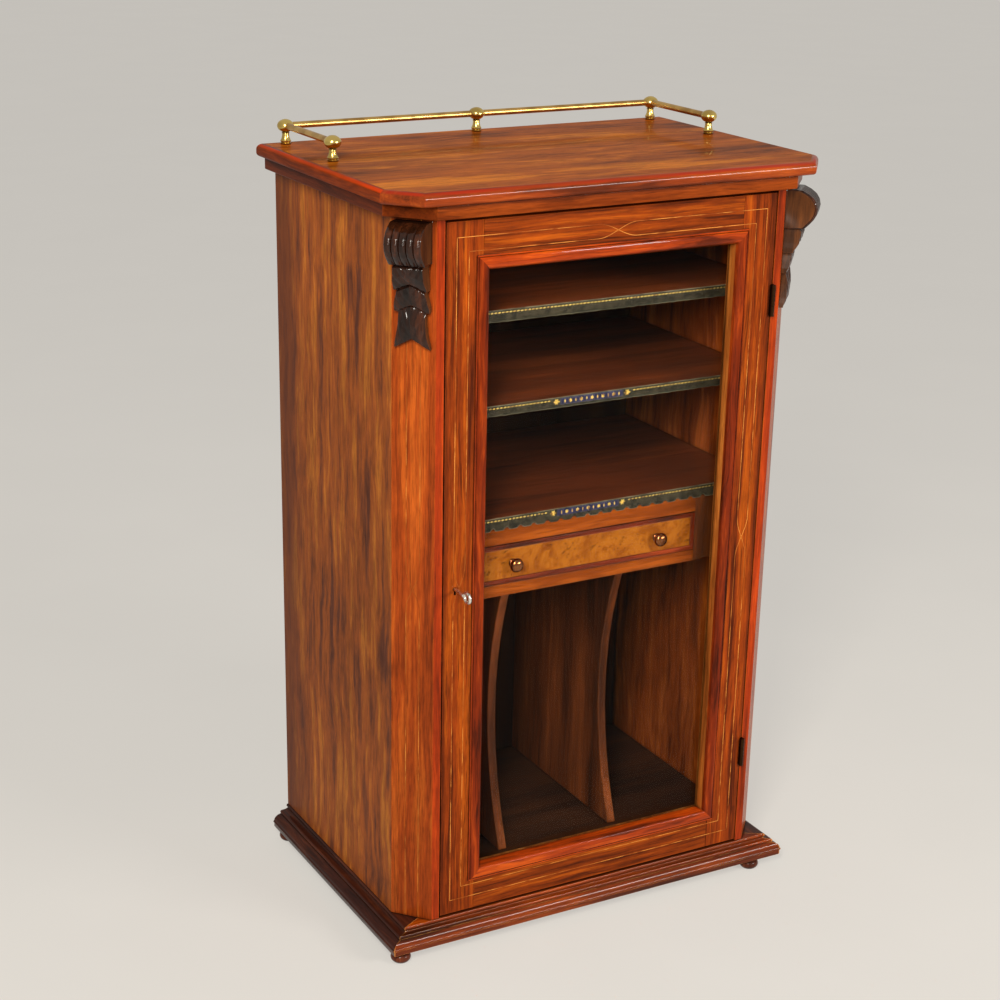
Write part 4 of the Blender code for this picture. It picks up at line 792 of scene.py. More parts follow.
finishes = [wood("carved corbel", CORBEL_WOOD, start=(2, 1, 5), figure=60, mottle=0.4, shine=0.24,
                 gloss=0.03, polish=(0.6, 0.1, 1.5), rubbed_and_highlit=(118, 58, 30), grime_and_shade=0.95),
            wood("corbel disc", DISC_WOOD, start=(2.2, 1, 5), figure=50, streaks=0.4, mottle=0.3,
                 shine=0.5, gloss=0.1, polish=(0.2, 0.3, 1.25), rubbed_and_highlit=(150, 80, 40), wear_and_highlight=0.3)]
for side_name, side in SIDES:
    bm = bmesh.new()
    carve_corbel(bm, side)
    settle(bm, f"carved_corbel_{side_name}", finishes, 40, "carcass", "dark_carving", f"corbel_{side_name}")

# Gallery. Turned brass ball posts with belled feet are screwed down along three edges of the top,
# and plain brass rods run between them. The lacquer has gone and the brass has browned in patches.
GALLERY_BRASS = ((226, 196, 114), (148, 118, 54), (72, 50, 22))
ROD_BRASS = ((212, 172, 100), (146, 104, 52), (70, 46, 22))
BALL_RISE = 0.022
BALL_RADIUS = 0.01025
ROD_RADIUS = 0.0041
BRASS_DIRT_AND_SHADE_REACH = 0.004


def brass(name, tones, roughness=0.26, stain=0.5):
    """Old brass in (bright, aged, brown): bright where handled, brown in the grooves from patina and painted
    shade.
    """
    material, tree, shader, place = new_finish(name)
    bright, aged, brown = (shade(*tone) for tone in tones)
    patch = misty(tree, place, 45, 2, 0.4)
    fine = misty(tree, place, 900, 3)
    colour = blended(tree, ramp(tree, patch, 0.38, 0.66, 0.0, stain), bright, aged)
    dirt_and_shade = masked(tree, CREVICE_DIRT_AND_SHADE, {"Reach": BRASS_DIRT_AND_SHADE_REACH, "Amount": 0.85})
    rough = maths(tree, "MULTIPLY_ADD", fine, 0.03, roughness - 0.1)
    rough = maths(tree, "MULTIPLY_ADD", patch, 0.2, rough)
    fill(tree, shader, {"Base Color": blended(tree, dirt_and_shade, colour, brown), "Metallic": 1.0,
                        "Roughness": maths(tree, "MULTIPLY_ADD", dirt_and_shade, 0.3, rough),
                        "Normal": bumped(tree, fine, 0.015, 0.0001)})
    return material


gallery_brass = brass("gallery brass", GALLERY_BRASS, 0.2)
profile = [(0, 0), (0.0058, 0), (0.00625, 0.0004), (0.00625, 0.0016), (0.0056, 0.0021)]
profile += arc((0.0092, 0.0128), (-0.0049, -0.0102), 60, 0, 10)
profile += arc((0.0040, 0.0136), (0.0009, 0.0006), -80, 80, 6)
profile += arc((0, BALL_RISE), (BALL_RADIUS, 0.0079), -70, 70, 22)
profile += arc((0, 0.0288), (0.0036, 0.00118), -10, 80, 6) + [(0, 0.03)]
for corner in ("front_left", "back_left", "back_middle", "back_right", "front_right"):
    turned_piece(f"gallery_post_{corner}", f"ball_post_{corner}", profile, gallery_brass, "carcass",
                 "gallery_brass")
rod_brass = brass("gallery rod", ROD_BRASS, 0.3, 0.6)
for name, axis in (("back", (1, 0, 0)), ("left", (0, 1, 0)), ("right", (0, 1, 0))):
    low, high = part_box(f"gallery_rail_{name}")
    length = (high - low).dot(axis)
    profile = [(0, 0)] + [(ROD_RADIUS, length * i / 12) for i in range(13)] + [(0, length)]
    turned_piece(f"gallery_rail_{name}", f"gallery_rod_{name}", profile, rod_brass, "carcass",
                 "gallery_brass", axis, 32)

# Shelves. Three mahogany boards slid into grooves in the sides from the front, with their grain
# across the cabinet. They were waxed but never polished, and have gone dull brown.
SHELF_WOOD = ((132, 62, 28), (100, 44, 20), (60, 26, 13))
SHELF_EASING = 0.0008

shelf_board = wood("shelf mahogany", SHELF_WOOD, grain="x", start=(0.2, 0.9, 2.6), figure=13, streaks=0.3,
                   shine=0.45, polish=(0.2, 0.25, 1.25), wear_and_highlight=0.25, rubbed_and_highlit=(126, 70, 34))
dress(shelf_board, SHELF_EASING, "shelf_upper", "shelf_middle", "shelf_lower")

# Shelf trims. Strips of dark, rubbed leather glued to the shelf edges to keep dust off what lies on
# them, tooled with a gilt line, and with a blue panel of gilt flowers and diamonds in the middle of two.
# The lowest one has a scalloped hem that hangs over the drawer rail.
LEATHER = (66, 58, 44)
LEATHER_DARK = (34, 30, 23)
LEATHER_WORN_AND_HIGHLIT = (172, 160, 130)
PANEL_BLUE = (54, 50, 86)
PANEL_DARK = (30, 30, 58)
PANEL_WORN = (96, 94, 112)
GILT = (246, 204, 96)
GILT_RUBBED = (150, 104, 44)
SCALLOP_PITCH = 0.019
SCALLOP_DEPTH = 0.0040
TRIM_COLUMNS = 520
TRIM_BOW = 0.0005
TRIM_WAVE = 0.00022
PANEL_HALF = 0.044
PANEL_HALF_HEIGHT = 0.004
PANEL_DROP = 0.0052
PANEL_PROUD = 0.0002
CROSS_OUT = 0.0058
CROSS_TURNS = (0, 62, 118, 180, 242, 298)
GILT_PITCH = 0.0050
GILT_DROP = 0.0032
GILT_PROUD = 0.00012
GILT_END_GAP = 0.003
TRIM_SEAT = 0.0001
FLOWER_PITCH = 0.0076


def leather(name, pale, dark, worn_and_highlit):
    """Thin tooled leather: fine grain, rubbed pale along its edges, with a painted highlight there."""
    material, tree, shader, place = new_finish(name)
    cells = place_node(tree, "TexVoronoi", {"Vector": place, "Scale": 1100}).outputs["Distance"]
    patch = misty(tree, place, 110, 5, 0.65)
    colour = blended(tree, ramp(tree, patch, 0.35, 0.65), shade(*dark), shade(*pale))
    rubbed_and_highlit = masked(tree, EDGE_WEAR_AND_HIGHLIGHT, {"Radius": 0.0016, "Amount": 1.0})
    relief = maths(tree, "MULTIPLY_ADD", patch, 0.5, cells)
    fill(tree, shader, {"Base Color": blended(tree, rubbed_and_highlit, colour, shade(*worn_and_highlit)),
                        "Roughness": ramp(tree, patch, 0.3, 0.7, 0.62, 0.42),
                        "Normal": bumped(tree, relief, 0.5, 0.0002), "Specular IOR Level": 0.12})
    return material


def patchy_metal(name, dull, bright, patches, edges, roughness, metallic):
    """Metal worn bright between dull patches.

    Patches is (scale, detail), edges where the dull ends and the bright starts, and roughness is
    (dull, bright).
    """
    material, tree, shader, place = new_finish(name)
    patch = misty(tree, place, *patches)
    share = ramp(tree, patch, *edges)
    fill(tree, shader, {"Base Color": blended(tree, share, shade(*dull), shade(*bright)),
                        "Roughness": ramp(tree, patch, 0.3, 0.6, *roughness), "Metallic": metallic})
    return material


def plate(bm, outline, front_y, thickness=GILT_PROUD):
    """Thin plate with an (x, z) outline that stands proud of a face looking forward."""
    skin(bm, [[(x, front_y + depth, z) for x, z in outline] for depth in (thickness, -thickness)])


def lozenge(x, z, half_x, half_z, lean=0.0):
    """Diamond outline, leaning like a twist of rope."""
    return [(x - half_x, z), (x - lean, z - half_z), (x + half_x, z), (x + lean, z + half_z)]


def petal(x, z, length, width, turn):
    """Pointed petal outline that starts at a point and runs along an angle in degrees."""
    way_x, way_z = cos(radians(turn)), sin(radians(turn))
    sides = ((0, 0), (0.3, 0.8), (0.6, 1), (0.85, 0.6), (1, 0), (0.85, -0.6), (0.6, -1), (0.3, -0.8))
    return [(x + way_x * length * share - way_z * width * half,
             z + way_z * length * share + way_x * width * half) for share, half in sides]


def hem(x, scalloped):
    """How far the lower edge of a trim rises at x."""
    if not scalloped:
        return 0.0007 * (1 + noise(Vector((x * 140, 7, 0))))
    notch = max(0.0, 1 - abs((x / SCALLOP_PITCH + 0.5) % 1 - 0.5) / 0.2)
    return SCALLOP_DEPTH * sqrt(notch) + 0.0006 * (1 + noise(Vector((x * 160, 3, 0))))


def cut_trim(bm, low, high, scalloped):
    """Leather strip with a slightly wavy face and its own hem."""
    rings = []
    for i in range(TRIM_COLUMNS + 1):
        x = low.x + (high.x - low.x) * i / TRIM_COLUMNS
        foot = low.z + hem(x, scalloped)
        ring = [(x, high.y, high.z), (x, high.y, foot)]
        for share in (0, 0.08, 0.35, 0.65, 0.92, 1):
            wave = TRIM_WAVE * noise(Vector((x * 60, share * 2, low.z * 50)))
            wave *= min(1, 4 * share * (1 - share))
            bow = TRIM_BOW * (1 - (2 * share - 1) ** 6)
            ring.append((x, low.y + 0.0006 - bow + wave, foot + (high.z - foot) * share))
        rings.append(ring)
    skin(bm, rings)


trim_leather = leather("trim leather", LEATHER, LEATHER_DARK, LEATHER_WORN_AND_HIGHLIT)
panel_leather = leather("panel leather", PANEL_BLUE, PANEL_DARK, PANEL_WORN)
gilt = patchy_metal("gilt tooling", GILT_RUBBED, GILT, (260, 4), (0.36, 0.52), (0.55, 0.3), 0.6)
for name in ("upper", "middle", "lower"):
    low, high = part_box(f"shelf_trim_{name}")
    bm = bmesh.new()
    cut_trim(bm, low, high, name == "lower")
    settle(bm, f"leather_trim_{name}", [trim_leather], 50, "carcass", "trim_leather", f"shelf_trim_{name}")
    face_y = low.y + TRIM_SEAT
    bm = bmesh.new()
    count = int((high.x - GILT_END_GAP) / GILT_PITCH)
    has_panel = name != "upper"
    for k in range(-count, count + 1):
        x = k * GILT_PITCH
        if not has_panel or abs(x) > PANEL_HALF + 2 * CROSS_OUT:
            plate(bm, lozenge(x, high.z - GILT_DROP, 0.0019, 0.0010, 0.0005), face_y)
    if has_panel:
        panel_z = high.z - PANEL_DROP
        panel = bmesh.new()
        outline = [(x * PANEL_HALF, panel_z + z * PANEL_HALF_HEIGHT)
                   for x, z in ((-1, -1), (1, -1), (1, 1), (-1, 1))]
        plate(panel, outline, face_y, PANEL_PROUD)
        settle(panel, f"trim_panel_{name}", [panel_leather], 30, "carcass", "trim_leather")
        for k in range(-5, 6):
            x = k * FLOWER_PITCH
            marks = [lozenge(x, panel_z, 0.0010, 0.0024)]
            if k % 2 == 0:
                marks = [petal(x, panel_z, 0.0026, 0.0006, turn + 30) for turn in range(0, 360, 60)]
            for mark in marks:
                plate(bm, mark, face_y - PANEL_PROUD)
        for side in (-1, 1):
            for turn in CROSS_TURNS:
                length = 0.0048 if turn in (0, 180) else 0.0038
                plate(bm, petal(side * (PANEL_HALF + CROSS_OUT), panel_z, length, 0.0009, turn), face_y)
    settle(bm, f"trim_gilding_{name}", [gilt], 30, "carcass", "trim_leather")

# Drawer housing. Two veneered rails frame the drawer opening, and a runner board with a cheek at each
# end hangs under the lowest shelf, in plainer and darker wood.
RAIL_VENEER = ((170, 82, 22), (136, 60, 14), (84, 34, 9))
HOUSING_WOOD = ((116, 56, 22), (84, 40, 16), (50, 23, 10))
RAIL_EASING = 0.0005
HOUSING_EASING = 0.0006

rail_wood = wood("drawer rail", RAIL_VENEER, grain="x", start=(1.9, 0.5, 0.7), figure=34, mottle=0.4,
                 shine=0.34, gloss=0.03, polish=(0.2, 0.15, 1.15), rubbed_and_highlit=(190, 98, 40), wear_and_highlight=0.4)
dress(rail_wood, RAIL_EASING, "drawer_rail_lower", "drawer_rail_upper")
housing_wood = wood("drawer housing", HOUSING_WOOD, start=(0.5, 4, 0.7), figure=26, streaks=0.4,
                    mottle=0.4, shine=0.42, polish=(0.2, 0.25, 1.25), wear_and_highlight=0.2, rubbed_and_highlit=(140, 74, 36))
dress(housing_wood, HOUSING_EASING, "drawer_housing")

# Slot dividers. Two thin mahogany boards stand in grooves under the drawer; their front edges are
# scooped out so that a hand can reach in.
DIVIDER_WOOD = ((140, 70, 32), (104, 50, 22), (62, 29, 14))
DIVIDER_EASING = 0.0012

divider_wood = wood("slot divider", DIVIDER_WOOD, start=(0.2, 2.7, 1.2), figure=22, streaks=0.4, shine=0.42,
                    polish=(0.25, 0.2, 1.25), wear_and_highlight=0.6, rubbed_and_highlit=(166, 88, 42))
dress(divider_wood, DIVIDER_EASING, "slot_divider_left", "slot_divider_right")

# Drawer front. Golden burr veneer on a mahogany front, French polished, with a red-brown cockbead
# glued all round its edge.
BURR_PALE = (180, 102, 24)
BURR_MIDDLE = (136, 66, 12)
BURR_DARK = (84, 36, 8)
COCKBEAD_WOOD = ((156, 58, 20), (116, 38, 13), (62, 21, 8))
COCKBEAD_WIDTH = 0.006
COCKBEAD_PROUD = 0.0013
DRAWER_FRONT_THICKNESS = 0.014
DRAWER_FRONT_EASING = 0.0004


def burr_finish():
    """Burr: swirled figure with clusters of small dark eyes."""
    material, tree, shader, place = new_finish("burr veneer")
    plugs = {"Vector": place, "Scale": 17, "Detail": 4, "Distortion": 1.6}
    swirl = place_node(tree, "TexNoise", plugs).outputs
    plugs = {0: swirl["Color"], 1: (0.05, 0.05, 0.05), 2: place}
    shift = vector_maths(tree, "MULTIPLY_ADD", plugs)[0]
    figure = misty(tree, shift, 70, 6, 0.72)
    eyes = place_node(tree, "TexVoronoi", {"Vector": shift, "Scale": 160}).outputs["Distance"]
    pale, middle, dark = shade(*BURR_PALE), shade(*BURR_MIDDLE), shade(*BURR_DARK)
    colour = blended(tree, ramp(tree, figure, 0.34, 0.54), middle, pale)
    colour = blended(tree, ramp(tree, swirl["Fac"], 0.46, 0.66, 0.0, 0.85), colour, middle)
    clusters = ramp(tree, misty(tree, place, 34), 0.46, 0.62)
    colour = blended(tree, maths(tree, "MULTIPLY", ramp(tree, eyes, 0.26, 0.1), clusters), colour, dark)
    colour = blended(tree, ramp(tree, figure, 0.54, 0.68, 0.0, 0.85), colour, dark)
    fill(tree, shader, {"Base Color": colour, "Roughness": ramp(tree, figure, 0.3, 0.7, 0.28, 0.4),
                        "Normal": bumped(tree, figure, 0.15, 0.0003), "Specular IOR Level": 0.05,
                        "Coat Weight": 0.3, "Coat Roughness": 0.12, "Coat IOR": 1.2})
    return material


def framed(bm, section, half, low, high, front, reveal=None):
    """Mitred moulding round a frame: the section is (out from the sight line, towards the front).

    The upright members take the finish after the level ones, and the face numbered reveal takes the
    third finish on them.
    """
    loops = []
    for out_x, out_z in ((-1, -1), (1, -1), (1, 1), (-1, 1)):
        x, z = half * out_x, high if out_z > 0 else low
        loops.append([(x + out * out_x, front - up, z + out * out_z) for out, up in section])
    for k, strip in enumerate(skin(bm, loops, looped=True)):
        for i, face in enumerate(strip):
            face.material_index = 2 if k % 2 and i == reveal else k % 2


dress(burr_finish(), DRAWER_FRONT_EASING, "drawer_front")
low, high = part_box("drawer_cockbead")
finishes = [wood(f"cockbead {name}", COCKBEAD_WOOD, grain=grain, start=start, figure=60, streaks=0.4,
                 shine=0.3, polish=(0.7, 0.1, 1.25), rubbed_and_highlit=(214, 116, 54), wear_and_highlight=0.8)
            for name, grain, start in (("level", "x", (0.4, 1.4, 0.2)), ("upright", "z", (0.1, 2.4, 0.9)))]
section = [(COCKBEAD_WIDTH, -DRAWER_FRONT_THICKNESS), (0, -DRAWER_FRONT_THICKNESS)]
section += arc((COCKBEAD_WIDTH / 2, 0), (-COCKBEAD_WIDTH / 2, COCKBEAD_PROUD), 0, 180, 14)
bm = bmesh.new()
framed(bm, section, high.x - COCKBEAD_WIDTH, low.z + COCKBEAD_WIDTH, high.z - COCKBEAD_WIDTH,
       high.y - DRAWER_FRONT_THICKNESS)
settle(bm, "cockbead", finishes, 40, "drawer", "moulding", "drawer_cockbead")

# Drawer knobs. Small turned brass knobs, darkened to brown and bright only on the crown, each screwed
# through the front on a short neck.
KNOB_BRASS = ((150, 92, 56), (102, 57, 35), (40, 20, 12))

knob_brass = brass("knob brass", KNOB_BRASS, 0.14, 0.8)
profile = [(0, 0), (0.0056, 0), (0.0058, 0.0005), (0.0057, 0.0012), (0.0047, 0.0019)]
profile += arc((0.0068, 0.0038), (-0.0026, -0.0018), 60, -40, 6)
profile += arc((0, 0.0100), (0.009, 0.0060), -58, 88, 26) + [(0, 0.016)]
for side_name, side in SIDES:
    turned_piece(f"drawer_knob_{side_name}", f"brass_knob_{side_name}", profile, knob_brass, "drawer",
                 "knob_brass", (0, -1, 0))

# Drawer box. Sides, back and bottom in pale wood that was never polished and has gone grey-brown
# with handling; the sides' grain runs from front to back and the others' across.
LINING_WOOD = ((196, 150, 98), (164, 120, 76), (118, 82, 50))

for name, grain, start, figure, easing, nodes in (
        ("side", "y", (0.3, 0.3, 1.1), 24, 0.0007, ("drawer_side_left", "drawer_side_right")),
        ("cross", "x", (1.3, 0.7, 0.1), 20, 0.0006, ("drawer_back", "drawer_bottom"))):
    lining = wood(f"drawer {name} lining", LINING_WOOD, grain=grain, start=start, figure=figure,
                  streaks=0.3, mottle=0.2, shine=0.62, polish=(0.0, 0.12, 1.25), wear_and_highlight=0.3,
                  rubbed_and_highlit=(206, 162, 110))
    dress(lining, easing, *nodes)

# Door frame. Two stiles run the whole height and two rails are tenoned between them, veneered in
# straight orange walnut; a pair of boxwood lines runs round it and crosses in the middle of the
# uprights and of the top rail.
STILE_VENEER = ((170, 77, 14), (136, 53, 10), (74, 26, 6))
DOOR_RAIL_VENEER = ((158, 72, 13), (126, 50, 9), (74, 27, 6))
DOOR_INSIDE = ((124, 66, 32), (92, 46, 24), (58, 28, 16))
STILE_EASING = 0.0006
DOOR_RAIL_EASING = 0.0004
OUTER_LINE_INSET = 0.0132
INNER_LINE_INSET = 0.0285
OUTER_LINE_RISE = 0.018
INNER_LINE_RISE = 0.0345
DOOR_LINE_STEPS = 160

frame_look = {"length": 0.03, "mottle": 1.0, "wander": 0.3, "gloss": 0.03, "polish": (0.25, 0.1, 1.25),
              "rubbed_and_highlit": (216, 100, 34), "wear_and_highlight": 0.4, "inside": ((0, 1, 0), DOOR_INSIDE)}
for side_name, side in SIDES:
    finish = wood(f"stile walnut {side_name}", STILE_VENEER, start=(0.8 + side, 0.4, 1.5 * side), figure=95,
                  streaks=0.7, grime_and_shade=0.95, band=("X", 0.2165, 0.2235, 0.75), **frame_look)
    dress(finish, STILE_EASING, f"door_stile_{side_name}")
for rail, start in (("bottom", 0.3), ("top", 2.9)):
    finish = wood(f"rail walnut {rail}", DOOR_RAIL_VENEER, grain="x", start=(start, 0.6, start), figure=115,
                  streaks=0.6, **frame_look)
    dress(finish, DOOR_RAIL_EASING, f"door_rail_{rail}")

stile_low, stile_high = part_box("door_stile_left")
face_y = stile_low.y
line_middle = -stile_low.x - (OUTER_LINE_INSET + INNER_LINE_INSET) / 2
line_half = (INNER_LINE_INSET - OUTER_LINE_INSET) / 2
rise_middle = (OUTER_LINE_RISE + INNER_LINE_RISE) / 2
rise_half = (INNER_LINE_RISE - OUTER_LINE_RISE) / 2
bm = bmesh.new()
for way in (-1, 1):
    bottom = stile_low.z + rise_middle - way * rise_half
    top = stile_high.z - rise_middle - way * rise_half
    for side in (-1, 1):
        path = []
        for i in range(DOOR_LINE_STEPS + 1):
            z = bottom + (top - bottom) * i / DOOR_LINE_STEPS
            across = way * crossing(z, line_half, CROSSING_Z, CROSSING_HALF)
            path.append((side * (line_middle - across), face_y, z))
        lay_line(bm, path, (0, -1, 0))
    left_end = way * line_half - line_middle
    for z_edge, sign in ((stile_low.z, 1), (stile_high.z, -1)):
        right_end = line_middle - way * sign * line_half
        path = []
        for i in range(DOOR_LINE_STEPS + 1):
            x = left_end + (right_end - left_end) * i / DOOR_LINE_STEPS
            swap = crossing(x, -1, 0, CROSSING_HALF) if sign < 0 else 1
            path.append((x, face_y, z_edge + sign * (rise_middle + way * rise_half * swap)))
        lay_line(bm, path, (0, -1, 0))
settle(bm, "door_lines", [boxwood], 35, "door", "walnut_frame")

# Sash moulding. A rounded bead in red-stained wood, mitred round the glass and planted on the frame.
# Its inner face is bare wood, gone yellow-brown.
SASH_WOOD = ((158, 60, 14), (116, 37, 8), (60, 19, 5))
# The level members' paler copy of the sash wood is painted light.
SASH_LEVEL_LIT_WOOD = ((204, 84, 13), (162, 56, 8), (90, 29, 5))
SASH_REVEAL = ((206, 124, 52), (166, 90, 33), (108, 54, 19))
SASH_LEG = 0.0085
SASH_OUTER = 0.017
SASH_DEPTH = 0.013
SASH_PROUD = 0.004
SASH_EASING = 0.0015
SASH_QUIRK_WIDTH = 0.002
SASH_QUIRK_PROUD = 0.0016
SASH_GROOVE = 0.0003
SASH_REVEAL_FACE = 2

sash_low, sash_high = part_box("sash_moulding")
sight_line = (sash_high.x - SASH_OUTER, sash_low.z + SASH_OUTER, sash_high.z - SASH_OUTER)
leg = SASH_LEG - BOARD_GAP
hump_half = (SASH_OUTER - SASH_QUIRK_WIDTH - SASH_EASING) / 2
quirk = SASH_OUTER - SASH_QUIRK_WIDTH + SASH_GROOVE
section = [(leg, BOARD_GAP), (leg, -SASH_DEPTH), (0, -SASH_DEPTH), (0, -SASH_EASING)]
section += arc((SASH_EASING + hump_half, SASH_GROOVE), (-hump_half, SASH_PROUD - SASH_GROOVE), 0, 180, 20)
section += [(quirk, SASH_GROOVE), (quirk, SASH_QUIRK_PROUD), (SASH_OUTER - SASH_GROOVE, SASH_QUIRK_PROUD),
            (SASH_OUTER, SASH_QUIRK_PROUD - SASH_GROOVE), (SASH_OUTER, BOARD_GAP)]
# The level members take a paler copy of the red-stained wood than the uprights, as painted light.
finishes = [wood(f"sash {name}", veneer, grain=grain, start=start, figure=60, mottle=0.3, shine=0.3,
                 gloss=0.02, polish=polish, rubbed_and_highlit=rubbed_and_highlit, wear_and_highlight=0.45, grime_and_shade=1.0)
            for name, veneer, grain, start, polish, rubbed_and_highlit in (
                ("level", SASH_LEVEL_LIT_WOOD, "x", (0.5, 0.1, 1.2), (0.35, 0.06, 1.45), (216, 84, 24)),
                ("upright", SASH_WOOD, "z", (1.5, 0.6, 0.2), (0.2, 0.06, 1.4), (196, 78, 24)))]
finishes.append(wood("sash reveal", SASH_REVEAL, start=(0.5, 2.6, 0.2), figure=50, mottle=0.4, shine=0.42,
                     polish=(0.3, 0.15, 1.25), rubbed_and_highlit=(216, 150, 76), wear_and_highlight=0.2, grime_and_shade=0.5))
bm = bmesh.new()
framed(bm, section, *sight_line, face_y, SASH_REVEAL_FACE)
settle(bm, "sash_bead", finishes, 40, "door", "moulding", "sash_moulding")

# Glazing. One sheet of old glass with a faint bloom lies behind the sash, and mitred quarter-round
# beads pinned behind it hold it in.
GLASS_TINTS = ((0.93, 0.95, 0.92, 1), (0.98, 0.99, 0.97, 1))
GLASS_THROUGH = (0.94, 0.96, 0.93, 1)
GLASS_BEND = 1.1


def mixed_shader(tree, share, first, second):
    """Mix of two shaders."""
    return place_node(tree, "MixShader", {0: share, 1: first, 2: second}).outputs[0]


def glass_finish():
    """Clear old sheet glass that lets lamplight through to the shelves."""
    material, tree, shader, place = new_finish("old sheet glass")
    fill(tree, shader, {"Base Color": blended(tree, misty(tree, place, 30, 5), *GLASS_TINTS),
                        "Roughness": 0.0, "Transmission Weight": 1.0, "IOR": GLASS_BEND})
    clear = place_node(tree, "BsdfTransparent", {"Color": GLASS_THROUGH}).outputs[0]
    rays = place_node(tree, "LightPath").outputs
    lamplight = maths(tree, "MAXIMUM", rays["Is Shadow Ray"], rays["Is Diffuse Ray"])
    both = mixed_shader(tree, lamplight, shader.outputs[0], clear)
    fill(tree, tree.nodes["Material Output"], {"Surface": both})
    return material


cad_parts["glass_pane"].material_slots[0].material = glass_finish()
bead_low, bead_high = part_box("glazing_beads")
depth = bead_high.y - bead_low.y
bead_wood = wood("glazing bead", SASH_REVEAL, start=(3.5, 0.6, 0.2), figure=50, mottle=0.3, shine=0.5,
                 polish=(0.1, 0.12, 1.25), wear_and_highlight=0.2)
section = [(leg, -depth), (leg, 0), (0, 0)] + arc((leg, 0), (-leg, -depth), 6, 84, 12)
bm = bmesh.new()
framed(bm, section, *sight_line, bead_low.y)
settle(bm, "quarter_round_beads", [bead_wood, bead_wood], 40, "door", "interior_mahogany",
       "glazing_beads")

# Hinges and lock. Cast brass butts with their leaves let into the post and the stile, and a cut-in
# brass lock whose bolt shoots into the left post.
FITTING_BRASS = ((62, 38, 20), (42, 26, 14), (22, 14, 8))
FITTING_EASING = 0.0002

fitting_brass = brass("dull fitting brass", FITTING_BRASS, 0.4, 0.7)
dress(fitting_brass, FITTING_EASING, "hinge_post_plate_lower", "hinge_post_plate_upper",
      "hinge_door_plate_lower", "hinge_door_plate_upper", "lock_case", "lock_bolt")

# Key. A small steel key with a ring bow, a turned collar and a single bit, worn bright on the bow
# and darker in its pits.
KEY_DULL = (156, 146, 136)
KEY_BRIGHT = (238, 232, 222)
KEY_RISE = 0.4863
BOW_LENGTH = 0.0068
BOW_HEIGHT = 0.0058
BOW_STEPS = 48
WIRE_RADIUS = 0.0023
WIRE_STEPS = 16
WIRE_SQUASH = 0.9
SHANK_RADIUS = 0.0020
SHANK_BITE = 0.0004
SHANK_PROFILE = ((0, 0), (0.0015, 0.0004), (SHANK_RADIUS, 0.0012), (SHANK_RADIUS, 0.0016),
                 (0.0024, 0.0019), (0.0026, 0.0026), (0.0026, 0.0030), (0.0024, 0.0036),
                 (0.0018, 0.0039), (SHANK_RADIUS, 0.0045))
BIT_HALF = 0.0008
BIT_OUTLINE = ((-0.0051, -0.007), (-0.0006, -0.007), (-0.0006, -0.0008), (-0.0051, -0.0008))

low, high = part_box("key")
key_x = (low.x + high.x) / 2
bow = Vector((key_x, low.y + BOW_LENGTH + WIRE_RADIUS, KEY_RISE))
bm = bmesh.new()
rings = []
for i in range(BOW_STEPS):
    turn = 2 * pi * i / BOW_STEPS
    wire = WIRE_RADIUS * (0.95 + 0.05 * cos(turn))
    ring = []
    for j in range(WIRE_STEPS):
        around = 2 * pi * j / WIRE_STEPS
        reach = wire * cos(around)
        ring.append(bow + Vector((WIRE_SQUASH * wire * sin(around), (BOW_LENGTH + reach) * cos(turn),
                                  (BOW_HEIGHT + reach) * sin(turn))))
    rings.append(ring)
skin(bm, rings, looped=True)
shank_start = bow.y + BOW_LENGTH - SHANK_BITE
length = high.y - shank_start
profile = [*SHANK_PROFILE, (SHANK_RADIUS, length - 0.0004), (0.0013, length), (0, length)]
turned(bm, profile, (key_x, shank_start, bow.z), (0, 1, 0), 32)
bit_faces = (key_x - BIT_HALF, key_x + BIT_HALF)
skin(bm, [[(x, high.y + y, bow.z + z) for y, z in BIT_OUTLINE] for x in bit_faces])
key_steel = patchy_metal("key steel", KEY_DULL, KEY_BRIGHT, (420, 5), (0.34, 0.56), (0.42, 0.2), 1.0)
settle(bm, "steel_key", [key_steel], 50, "key", "key_steel", "key")

# Floor. A plain pale studio floor, wide enough to reach the horizon, and the world behind it has the
# same pale tone, so that no horizon shows.
FLOOR_TONE = (0.60, 0.575, 0.535, 1)
FLOOR_SEEN_TONE = (0.27, 0.258, 0.24, 1)
FLOOR_PATCH_TONE = (0.5, 0.48, 0.45, 1)
FLOOR_GLOW = 0.8
FLOOR_RADIUS = 30


def seen_rays(tree):
    """Mask of what the camera sees, straight, mirrored or through glass."""
    rays = place_node(tree, "LightPath").outputs
    mirrored = maths(tree, "MAXIMUM", rays["Is Glossy Ray"], rays["Is Transmission Ray"])
    return maths(tree, "MAXIMUM", rays["Is Camera Ray"], mirrored)


def floor_finish():
    """Pale floor that keeps the object's shadow but is as pale far away as near by."""
    material, tree, shader, place = new_finish("pale floor")
    seen = seen_rays(tree)
    tone = blended(tree, seen, FLOOR_TONE, FLOOR_SEEN_TONE)
    patch = ramp(tree, misty(tree, place, 3, 4), 0.3, 0.7, 0.0, 0.06)
    fill(tree, shader, {"Base Color": blended(tree, patch, tone, FLOOR_PATCH_TONE), "Roughness": 0.9,
                        "Specular IOR Level": 0.0, "Emission Color": FLOOR_TONE,
                        "Emission Strength": maths(tree, "MULTIPLY", seen, FLOOR_GLOW)})
    return material


bm = bmesh.new()
bmesh.ops.create_grid(bm, x_segments=2, y_segments=2, size=FLOOR_RADIUS)
floor = new_piece(bm, "floor", [floor_finish()], 35)

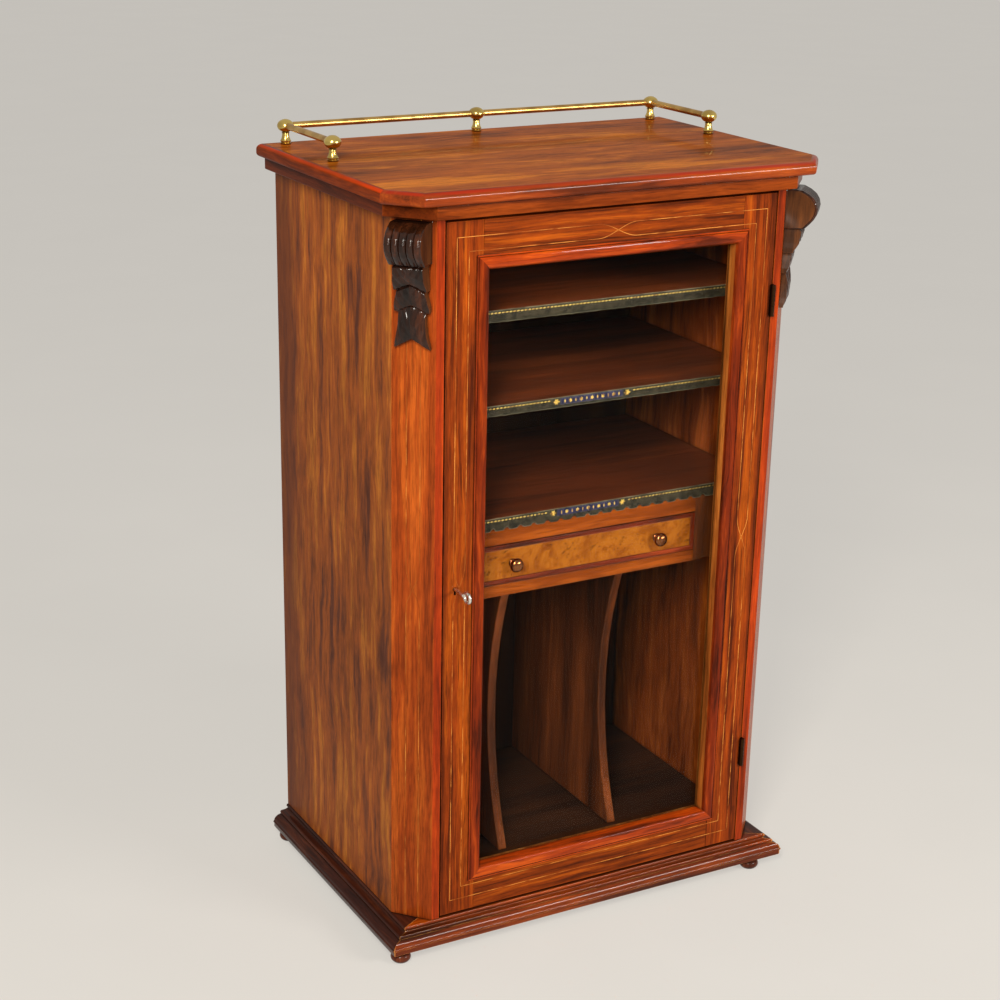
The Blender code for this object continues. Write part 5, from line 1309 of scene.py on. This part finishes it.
# World and lamps. An even pale room, a tall warm box lamp high on the left in front, and a wide, low
# and weaker fill from the front right.
ROOM_LIGHT = 0.26
ROOM_TINT = (1.0, 0.97, 0.93)
BACKDROP_LIGHT = 0.915
KEY_LAMP = (-1.6, -2.0, 2.05)
KEY_LAMP_WATTS = 76
KEY_LAMP_SIZE = (0.5, 1.3)
KEY_LAMP_TINT = (1.0, 0.95, 0.86)
FILL_LAMP = (1.45, -2.6, 1.4)
FILL_LAMP_WATTS = 57
FILL_LAMP_SIZE = (1.3, 0.4)
LAMP_TARGET = (0, 0, 0.5)

world = bpy.data.worlds.new("pale room")
bpy.context.scene.world = world
world.use_nodes = True
tree = world.node_tree
tree.nodes.clear()
lit = place_node(tree, "Background", {"Color": (*ROOM_TINT, 1), "Strength": ROOM_LIGHT}).outputs[0]
shown = place_node(tree, "Background", {"Color": FLOOR_TONE, "Strength": BACKDROP_LIGHT}).outputs[0]
place_node(tree, "OutputWorld", {"Surface": mixed_shader(tree, seen_rays(tree), lit, shown)})


def add_lamp(name, place, watts, size, tint):
    """Soft box lamp that looks at the middle of the object."""
    light = bpy.data.lights.new(name, "AREA")
    light.energy = watts
    light.shape = "RECTANGLE"
    light.size, light.size_y = size
    light.color = tint
    lamp = bpy.data.objects.new(name, light)
    lamp.location = place
    lamp.rotation_euler = (Vector(LAMP_TARGET) - Vector(place)).to_track_quat("-Z", "Y").to_euler()
    bpy.context.scene.collection.objects.link(lamp)


add_lamp("key lamp", KEY_LAMP, KEY_LAMP_WATTS, KEY_LAMP_SIZE, KEY_LAMP_TINT)
add_lamp("fill lamp", FILL_LAMP, FILL_LAMP_WATTS, FILL_LAMP_SIZE, ROOM_TINT)

# Camera. It looks from in front and from the left, down a little, and is rolled by less than a
# degree.
CAMERA_AZIMUTH = radians(28.14)
CAMERA_ELEVATION = radians(20.753)
CAMERA_ROLL = radians(0.764)
CAMERA_PLACE = (-1.23720, -2.10634, 1.35156)
CAMERA_LENS = 72.235
CAMERA_SENSOR = 36
CAMERA_SHIFT = (0.03823, 0.0637)

camera_data = bpy.data.cameras.new("camera")
camera_data.lens = CAMERA_LENS
camera_data.sensor_width = CAMERA_SENSOR
camera_data.shift_x, camera_data.shift_y = CAMERA_SHIFT
camera = bpy.data.objects.new("camera", camera_data)
level = Vector((sin(CAMERA_AZIMUTH), cos(CAMERA_AZIMUTH), 0))
forward = level * cos(CAMERA_ELEVATION) - Vector((0, 0, sin(CAMERA_ELEVATION)))
right = Vector((level.y, -level.x, 0))
up = right.cross(forward)
rolled_right = right * cos(CAMERA_ROLL) + up * sin(CAMERA_ROLL)
rolled_up = up * cos(CAMERA_ROLL) - right * sin(CAMERA_ROLL)
turn = Matrix((rolled_right, rolled_up, -forward)).transposed()
camera.matrix_world = Matrix.Translation(CAMERA_PLACE) @ turn.to_4x4()
bpy.context.scene.collection.objects.link(camera)
bpy.context.scene.camera = camera
bpy.context.scene.view_settings.view_transform = "Standard"
